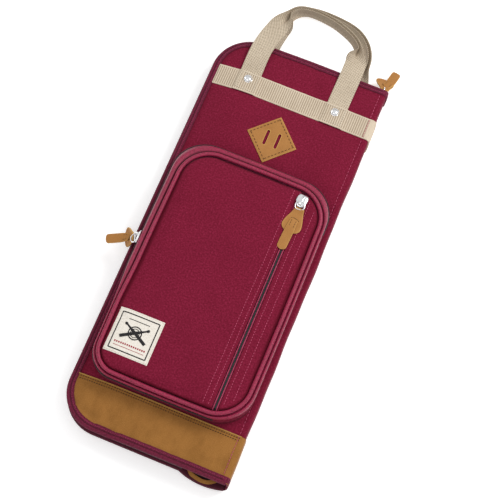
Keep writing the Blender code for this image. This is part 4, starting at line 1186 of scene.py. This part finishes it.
low, high = box("quick_pouch")
xs = np.linspace(low[0] + 2, high[0] - 2, 20)[None]
ys = np.linspace(low[1] + 2, high[1] - 2, 44)[:, None]
slack = 3.4 * (1 - falloff(inset(xs, ys, low[:2], high[:2], 14), 16, 2))
under = high[2] - 2.2 - slack + 0.3 * np.sin(xs / 6) * np.sin(ys / 11)
pouch = sheet_rings(np.stack(np.broadcast_arrays(xs, ys, high[2] - 1.2), -1),
                    np.stack(np.broadcast_arrays(xs, ys, under), -1))
add("quick_pouch_cloth", skin(pouch, flat=True), LINING, "pocket_lid", "lining", "quick_pouch", fill=0.2)

# ------------------------------------------------------------ woven label: a plain emblem of crossed sticks
LABEL_LOW, LABEL_HIGH = box("woven_label")
LABEL_MID = (LABEL_LOW[:2] + LABEL_HIGH[:2]) / 2 + [-0.5, 0]
LABEL_HALF = (LABEL_HIGH[0] - LABEL_LOW[0]) / 2 + 0.3

across = np.linspace(-1, 1, 31) * LABEL_HALF
rim = LABEL_HALF - np.maximum(abs(across), abs(across[:, None]))
top = 0.75 - 0.35 * falloff(rim, 1.5, 2)
cloth = face.layer(LABEL_MID[0] + across, LABEL_MID[1] + across[:, None], top, -0.1)
add("woven_label_cloth", cloth, LABEL, "pocket_lid", "label", "woven_label")


def rule(points, width, lift=0.8):
    """A woven line through points measured from the label's middle."""
    return strip(face.on(LABEL_MID + densify(points, 1.5), lift), width, 0.3)


def square(d):
    """The four sides of a square, from -d to d each way."""
    corners = [(-d, -d), (d, -d), (d, d), (-d, d), (-d, -d)]
    return list(zip(corners, corners[1:]))


black = [rule(side, 1.25) for side in square(LABEL_HALF - 4.3)]
for flip, lift in ((-1, 0.85), (1, 1.05)):
    line = face.on(LABEL_MID + densify([(-14.5 * flip, -6.0), (14.0 * flip, 10.5)], 0.8), lift)
    along = np.linspace(0, 1, len(line))
    width = 1.75 - 0.85 * ease((along - 0.5) / 0.38) + 0.8 * np.exp(-((along - 0.95) / 0.035) ** 2)
    black.append(leaf(line, width, np.full(len(line), 0.3), sides=12))
for radius, width in ((7.2, 1.2), (4.9, 0.7)):
    turn = np.linspace(0, 2 * np.pi, 40)
    black.append(rule(np.c_[radius * np.cos(turn), 2.2 + radius * np.sin(turn)], width, 0.95))
black.append(rule([(-12, 15.6), (12, 15.6)], 0.8))
add("woven_label_lines", merge(black), THREAD_BLACK, "pocket_lid", "label")
# a row of equal dashes over a rule; they spell nothing
red = [rule([(x - 0.75, -12.6), (x + 0.75, -12.6)], 1.9) for x in np.linspace(-17, 17, 15)]
red.append(rule([(-17.5, -16.6), (17.5, -16.6)], 0.5))
add("woven_label_red_lines", merge(red), THREAD_RED, "pocket_lid", "label")
rows = [face.sewn(LABEL_MID + densify(side, 2.0), 0.7, 2.6, 1.9, 0.22) for side in square(LABEL_HALF - 1.3)]
add("woven_label_stitches", merge(rows), THREAD_TAN, "pocket_lid", "label")


# ------------------------------------------------------------ sliders, links and leather pulls
WIRE = 0.75  # radius of a link


def slider(name, centre, along, out):
    """A cast zip slider: a shield with two shoulders, a waist rib and a bridge that holds the link."""
    y = np.linspace(-7.2, 7.2, 26)

    def cast(stretch, shift, z, width, depth, square=0.5):
        return leaf(np.c_[0 * y, y * stretch + shift, z + 0 * y], width + 0 * y, depth + 0 * y, square=square)

    shoulders = 1.7 * ease((y + 7) / 7) * (1 - 0.75 * ease((y - 4.0) / 3.4))
    width = 4.6 + shoulders - 2.2 * falloff(y + 7.2, 2.0, 2)
    depth = 1.5 * np.sqrt(np.maximum(1 - (abs(y) / 7.6) ** 4, 0.02))
    shield, under = cast(1, 0, 2.3, width, depth, 0.7), cast(0.94, 0, -0.6, width * 0.86, depth * 0.5, 0.7)
    waist, ridge = cast(0.6, 1.5, 0.8, 1.1, 0.9), cast(0.7, 0, 3.7, 0.55, 0.35)
    arch = [(0, -5.6, 3.2), (0, -5.0, 4.9), (0, -2.0, 5.9), (0, 2.2, 5.7), (0, 4.6, 4.6), (0, 5.4, 3.2)]
    bridge = strip(spline(arch, 5), 3.0, 1.3, 8, up=(0, 0.2, 1))
    points, quads, uvs = merge([shield, under, waist, bridge, ridge])
    along, out = unit(np.array(along, float)), unit(np.array(out, float))
    points = points @ np.array([np.cross(along, out), along, out]) + np.asarray(centre, float)
    add(name + "_cast_body", (points, quads, uvs), NICKEL, name, "nickel", name, sharp=50)


def wire_link(name, points):
    line = spline(points + points[:1], 6)[:-1]
    up = unit(np.cross(line[8] - line[0], line[16] - line[0]))
    wire = tube(line, WIRE, 10, closed=True, up=up)
    add(name + "_wire_link", wire, NICKEL, name, "nickel", name + "_link", sharp=80)


# outlines of the leather: distance along it, half its width
SPADE = np.array([(0, 4.9), (0.8, 5.4), (4, 5.9), (9, 7.4), (15, 9.6), (20, 10.9), (23.5, 11.3), (26.5, 10.7),
                  (29, 8.8), (30.6, 6.2), (31.4, 3.2), (31.7, 0.8)])
TONGUE = np.array([(0, 0.8), (0.5, 3.6), (2, 4.4), (9, 5.0), (15, 5.4), (30, 5.5), (35, 5.3), (36.6, 4.5),
                   (37.6, 2.9), (38, 0.9)])


def tongue(shape, line, up, half_depth, sides=24):
    """A leather piece of a given outline laid along a line, and where its cut edge is."""
    line = spline(line, 12)
    at = np.unique(np.r_[np.linspace(0, 1, 34), 0.006, 0.02, 0.98, 0.994])
    width = np.interp(at * shape[-1, 0], shape[:, 0], shape[:, 1])
    end = np.minimum(at, 1 - at)
    thin = half_depth * (0.35 + 0.65 * ease(end / 0.03))
    made = leaf(points_at(line, at * distances(line)[-1]), width, thin, up=up, sides=sides, square=0.32)
    rim = np.tile(abs(np.cos(around(sides))) ** 6, len(at))
    return made, np.maximum(rim, 0.9 * np.repeat(falloff(end, 0.03, 1), sides))


def leather_pull(name, spade_line, tongue_line, spade_up, tongue_up):
    """A spade of leather whose own tongue is drawn out through a slit in it."""
    spade, spade_edge = tongue(SPADE, spade_line, spade_up, 1.05)
    strap, strap_edge = tongue(TONGUE, tongue_line, tongue_up, 0.95)
    add(name + "_leather_tab", merge([spade, strap]), LEATHER, name, "leather", name + "_leather", sharp=70,
        edge=np.concatenate([spade_edge, strap_edge]) * 0.8)
    line = spline(tongue_line, 12)
    ahead, up = unit(line[6] - line[0]), unit(np.asarray(tongue_up, float))
    side = np.cross(ahead, up)
    mouth = line[1] + 0.35 * up
    slit = spline([mouth + a * side + b * ahead
                   for a, b in ((-4.8, 0.9), (-2.6, -0.3), (0, -0.5), (2.6, -0.3), (4.8, 0.9))], 5)
    rows = [tube(slit, 0.34, up=up)]
    rows += [stitches(line[10:24] + a * side + 1.0 * up, up, 2.9, 2.0, 0.24) for a in (-2.9, 2.9)]
    add(name + "_slit_and_stitches", merge(rows), THREAD_DARK, name, "leather")


low, high = box("quick_slider")
slider("quick_slider", (QUICK_X, (low[1] + high[1]) / 2, low[2] + 0.4), (0.1, 1, 0), (0, 0, 1))
top = low[2] + 4.2
link = [(-3.0, 66.0, 0.4), (3.4, 66.4, 0.4), (5.6, 62.5, 0), (5.0, 58.6, -0.3), (0.8, 57.3, -0.4),
        (-3.4, 57.9, -0.3), (-5.0, 62.0, 0)]
wire_link("quick_pull", [(QUICK_X + x, y, top + z) for x, y, z in link])
lie = float(face.height(QUICK_X, 38)) + 1.9
leather_pull("quick_pull",
             [(60.6, 59.0, top - 0.2), (60.2, 52, lie + 1.0), (59.3, 40, lie), (58.6, 29.3, lie - 0.2)],
             [(60.0, 46.2, lie + 1.0), (59.6, 43, lie + 1.9), (58.9, 33, lie + 1.9), (58.2, 24, lie + 0.6),
              (57.4, 7.9, lie - 0.3)], (0, 0, 1), (0, 0, 1))

low, high = box("pocket_slider")
slider("pocket_slider", (high[0] + 0.6, (low[1] + high[1]) / 2, POCKET_ZIP), (0, 1, 0), (-1, 0, 0.05))
wire_link("pocket_pull", [(-95.0, -42.5, 53.0), (-94.0, -36.5, 56.6), (-95.8, -32.2, 55.4),
                          (-99.2, -33.4, 51.5), (-101.6, -37.5, 47.6), (-98.6, -42.4, 49.4)])
leather_pull("pocket_pull",
             [(-99.4, -36.6, 49.4), (-101.0, -36.1, 45), (-105.5, -34.8, 36.5), (-110, -33.8, 29)],
             [(-104.4, -35.3, 40.6), (-107.8, -36.0, 38.0), (-112.8, -37.9, 35.0), (-120.6, -40.9, 32.0),
              (-129.6, -44.5, 29.5)], (-0.83, -0.41, 0.38), (-0.2, -0.1, 0.97))

low, high = box("main_slider")
slider("main_slider", ((low[0] + high[0]) / 2, low[1] - 0.4, MIDDLE), (1, 0, 0), (0, 1, 0))
wire_link("main_pull", [(95.4, 252.8, 23.0), (95.8, 252.6, 17.4), (95.6, 255.6, 15.0), (95.0, 259.2, 15.8),
                        (94.8, 260.0, 19.6), (95.0, 256.6, 23.2)])
leather_pull("main_pull", [(95.2, 257.6, 18.4), (94.7, 260.6, 16.4), (93.2, 267, 11.8), (91.8, 275, 7.2)],
             [(94.4, 262.4, 15.6), (96.2, 266, 15.0), (98.6, 271.6, 13.2), (100.0, 278.6, 11.4),
              (101.6, 287.8, 9.6)], (0.1, 0.5, 0.86), (0, 0.2, 0.98))

# ------------------------------------------------------------ inside: the stick sleeve and the slip pocket
low, high = box("stick_sleeve")
xs, ys = np.linspace(low[0], high[0], 121), np.linspace(low[1], high[1], 60)[:, None]
channel = (xs - low[0]) / (high[0] - low[0]) * 4
puffed = abs(np.sin(np.pi * channel)) ** 0.55
closing = 0.35 + 0.65 * ease((ys - low[1]) / 45)
tall = 1.2 + (high[2] - low[2] - 4.6) * puffed * closing + 0.5 * np.sin(ys / 13 + channel) * puffed
sleeve = back.layer(xs, ys, -PANEL - 1.0 - tall, -PANEL - 0.2 - tall)
# painted shade in the sewn valleys between the sleeve's channels
add("stick_sleeve_cloth", sleeve, LINING, "back_half", "lining", "stick_sleeve", fill=0.3,
    soil=both(0.5 * (1 - puffed) + 0 * ys))
mouth = back.on(np.c_[xs, np.full(121, high[1] - 1.5)])
mouth[:, 2] += PANEL + 0.6 + tall[-1]
add("stick_sleeve_mouth_binding", strip(mouth, 7, 2.4), BINDING, "back_half", "binding")
ys = np.linspace(low[1] + 3, high[1] - 6, 90)
rows = [stitches(back.upright(x, ys, -PANEL - 2.4), (0, 0, 1), 3.4, 2.4, 0.32)
        for x in np.linspace(low[0] + 1.2, high[0] - 1.2, 5)]
add("stick_sleeve_divider_stitches", merge(rows), THREAD, "back_half", "lining")

low, high = box("inner_pocket")
xs, ys = np.linspace(low[0], high[0], 40), np.linspace(low[1], high[1], 44)[:, None]
d = inset(xs, ys, low[:2], high[:2] + [0, 60], 12)
slack = 0.8 + 3.2 * ease(d / 30) + 0.5 * np.sin(xs / 14) * ease(d / 20)
slip = front.layer(xs, ys, -PANEL - 0.7 - slack, -PANEL - 1.5 - slack)
add("inner_pocket_cloth", slip, LINING, "front_half", "lining", "inner_pocket")
mouth = front.on(np.c_[xs, np.full(40, high[1] - 2)])
mouth[:, 2] -= PANEL + 1.2 + slack[-1]
add("inner_pocket_hem", strip(mouth, 9, 1.8), BINDING, "front_half", "binding")
(x0, y0), (x1, y1) = low[:2] + 2, (high[0] - 2, high[1] - 6)
corners = [(x0, y1), (x0, y0), (x1, y0), (x1, y1)]
line = np.vstack([densify(pair, 3) for pair in zip(corners, corners[1:])])
add("inner_pocket_stitches", stitches(front.on(line, -PANEL - 2.3), (0, 0, -1), 3.4, 2.4, 0.32), THREAD,
    "front_half", "lining")

# ------------------------------------------------------------ floor, light and camera
scene = bpy.context.scene
ground = bpy.data.meshes.new("studio_floor")
FLOOR_REACH = 6.0  # metres
corners = [(x * FLOOR_REACH, y * FLOOR_REACH, -0.0004) for x, y in ((-1, -1), (1, -1), (1, 1), (-1, 1))]
ground.from_pydata(corners, [], [(0, 1, 2, 3)])
paper = bpy.data.materials.new("studio_paper")
paper.use_nodes = True
for socket, value in (("Base Color", (0.93, 0.93, 0.93, 1)), ("Roughness", 0.95),
                      ("Emission Color", (1, 1, 1, 1)), ("Emission Strength", 0.35)):
    paper.node_tree.nodes["Principled BSDF"].inputs[socket].default_value = value
ground.materials.append(paper)
floor = bpy.data.objects.new("studio_floor", ground)
scene.collection.objects.link(floor)

world = bpy.data.worlds.new("studio")
scene.world = world
world.use_nodes = True
sky = world.node_tree.nodes
direction = sky.new("ShaderNodeTexCoord")
parts = sky.new("ShaderNodeSeparateXYZ")
fade = sky.new("ShaderNodeMapRange")
for index, value in enumerate((0.0, 0.5, 0.25, 1.0)):
    fade.inputs[index + 1].default_value = value
world.node_tree.links.new(direction.outputs["Generated"], parts.inputs[0])
world.node_tree.links.new(parts.outputs["Z"], fade.inputs[0])
world.node_tree.links.new(fade.outputs[0], sky["Background"].inputs["Color"])
sky["Background"].inputs["Strength"].default_value = 0.78


def softbox(name, place_at, power, size):
    light = bpy.data.objects.new(name, bpy.data.lights.new(name, "AREA"))
    light.data.energy, light.data.size = power, size
    light.location = place_at
    direction = -light.location.normalized()
    light.rotation_mode = "QUATERNION"
    light.rotation_quaternion = direction.to_track_quat("-Z", "Y")
    scene.collection.objects.link(light)


softbox("key_light", (0.9, 0.9, 1.6), 20, 0.8)
softbox("fill_light", (-0.6, -0.8, 1.8), 4.5, 1.4)

camera = bpy.data.objects.new("camera", bpy.data.cameras.new("camera"))
camera.data.lens, camera.data.sensor_width = 111.6, 36.0
camera.data.clip_start, camera.data.clip_end = 0.05, 50.0
right, up, backward = (0.92627, 0.37262, 0.05639), (-0.37016, 0.87147, 0.32175), (0.07074, -0.31890, 0.94514)
turn = Matrix((right, up, backward)).transposed().to_4x4()
camera.matrix_world = Matrix.Translation((0.1477, -0.5492, 1.6765)) @ turn
scene.collection.objects.link(camera)
scene.camera = camera
scene.view_settings.view_transform = "Standard"
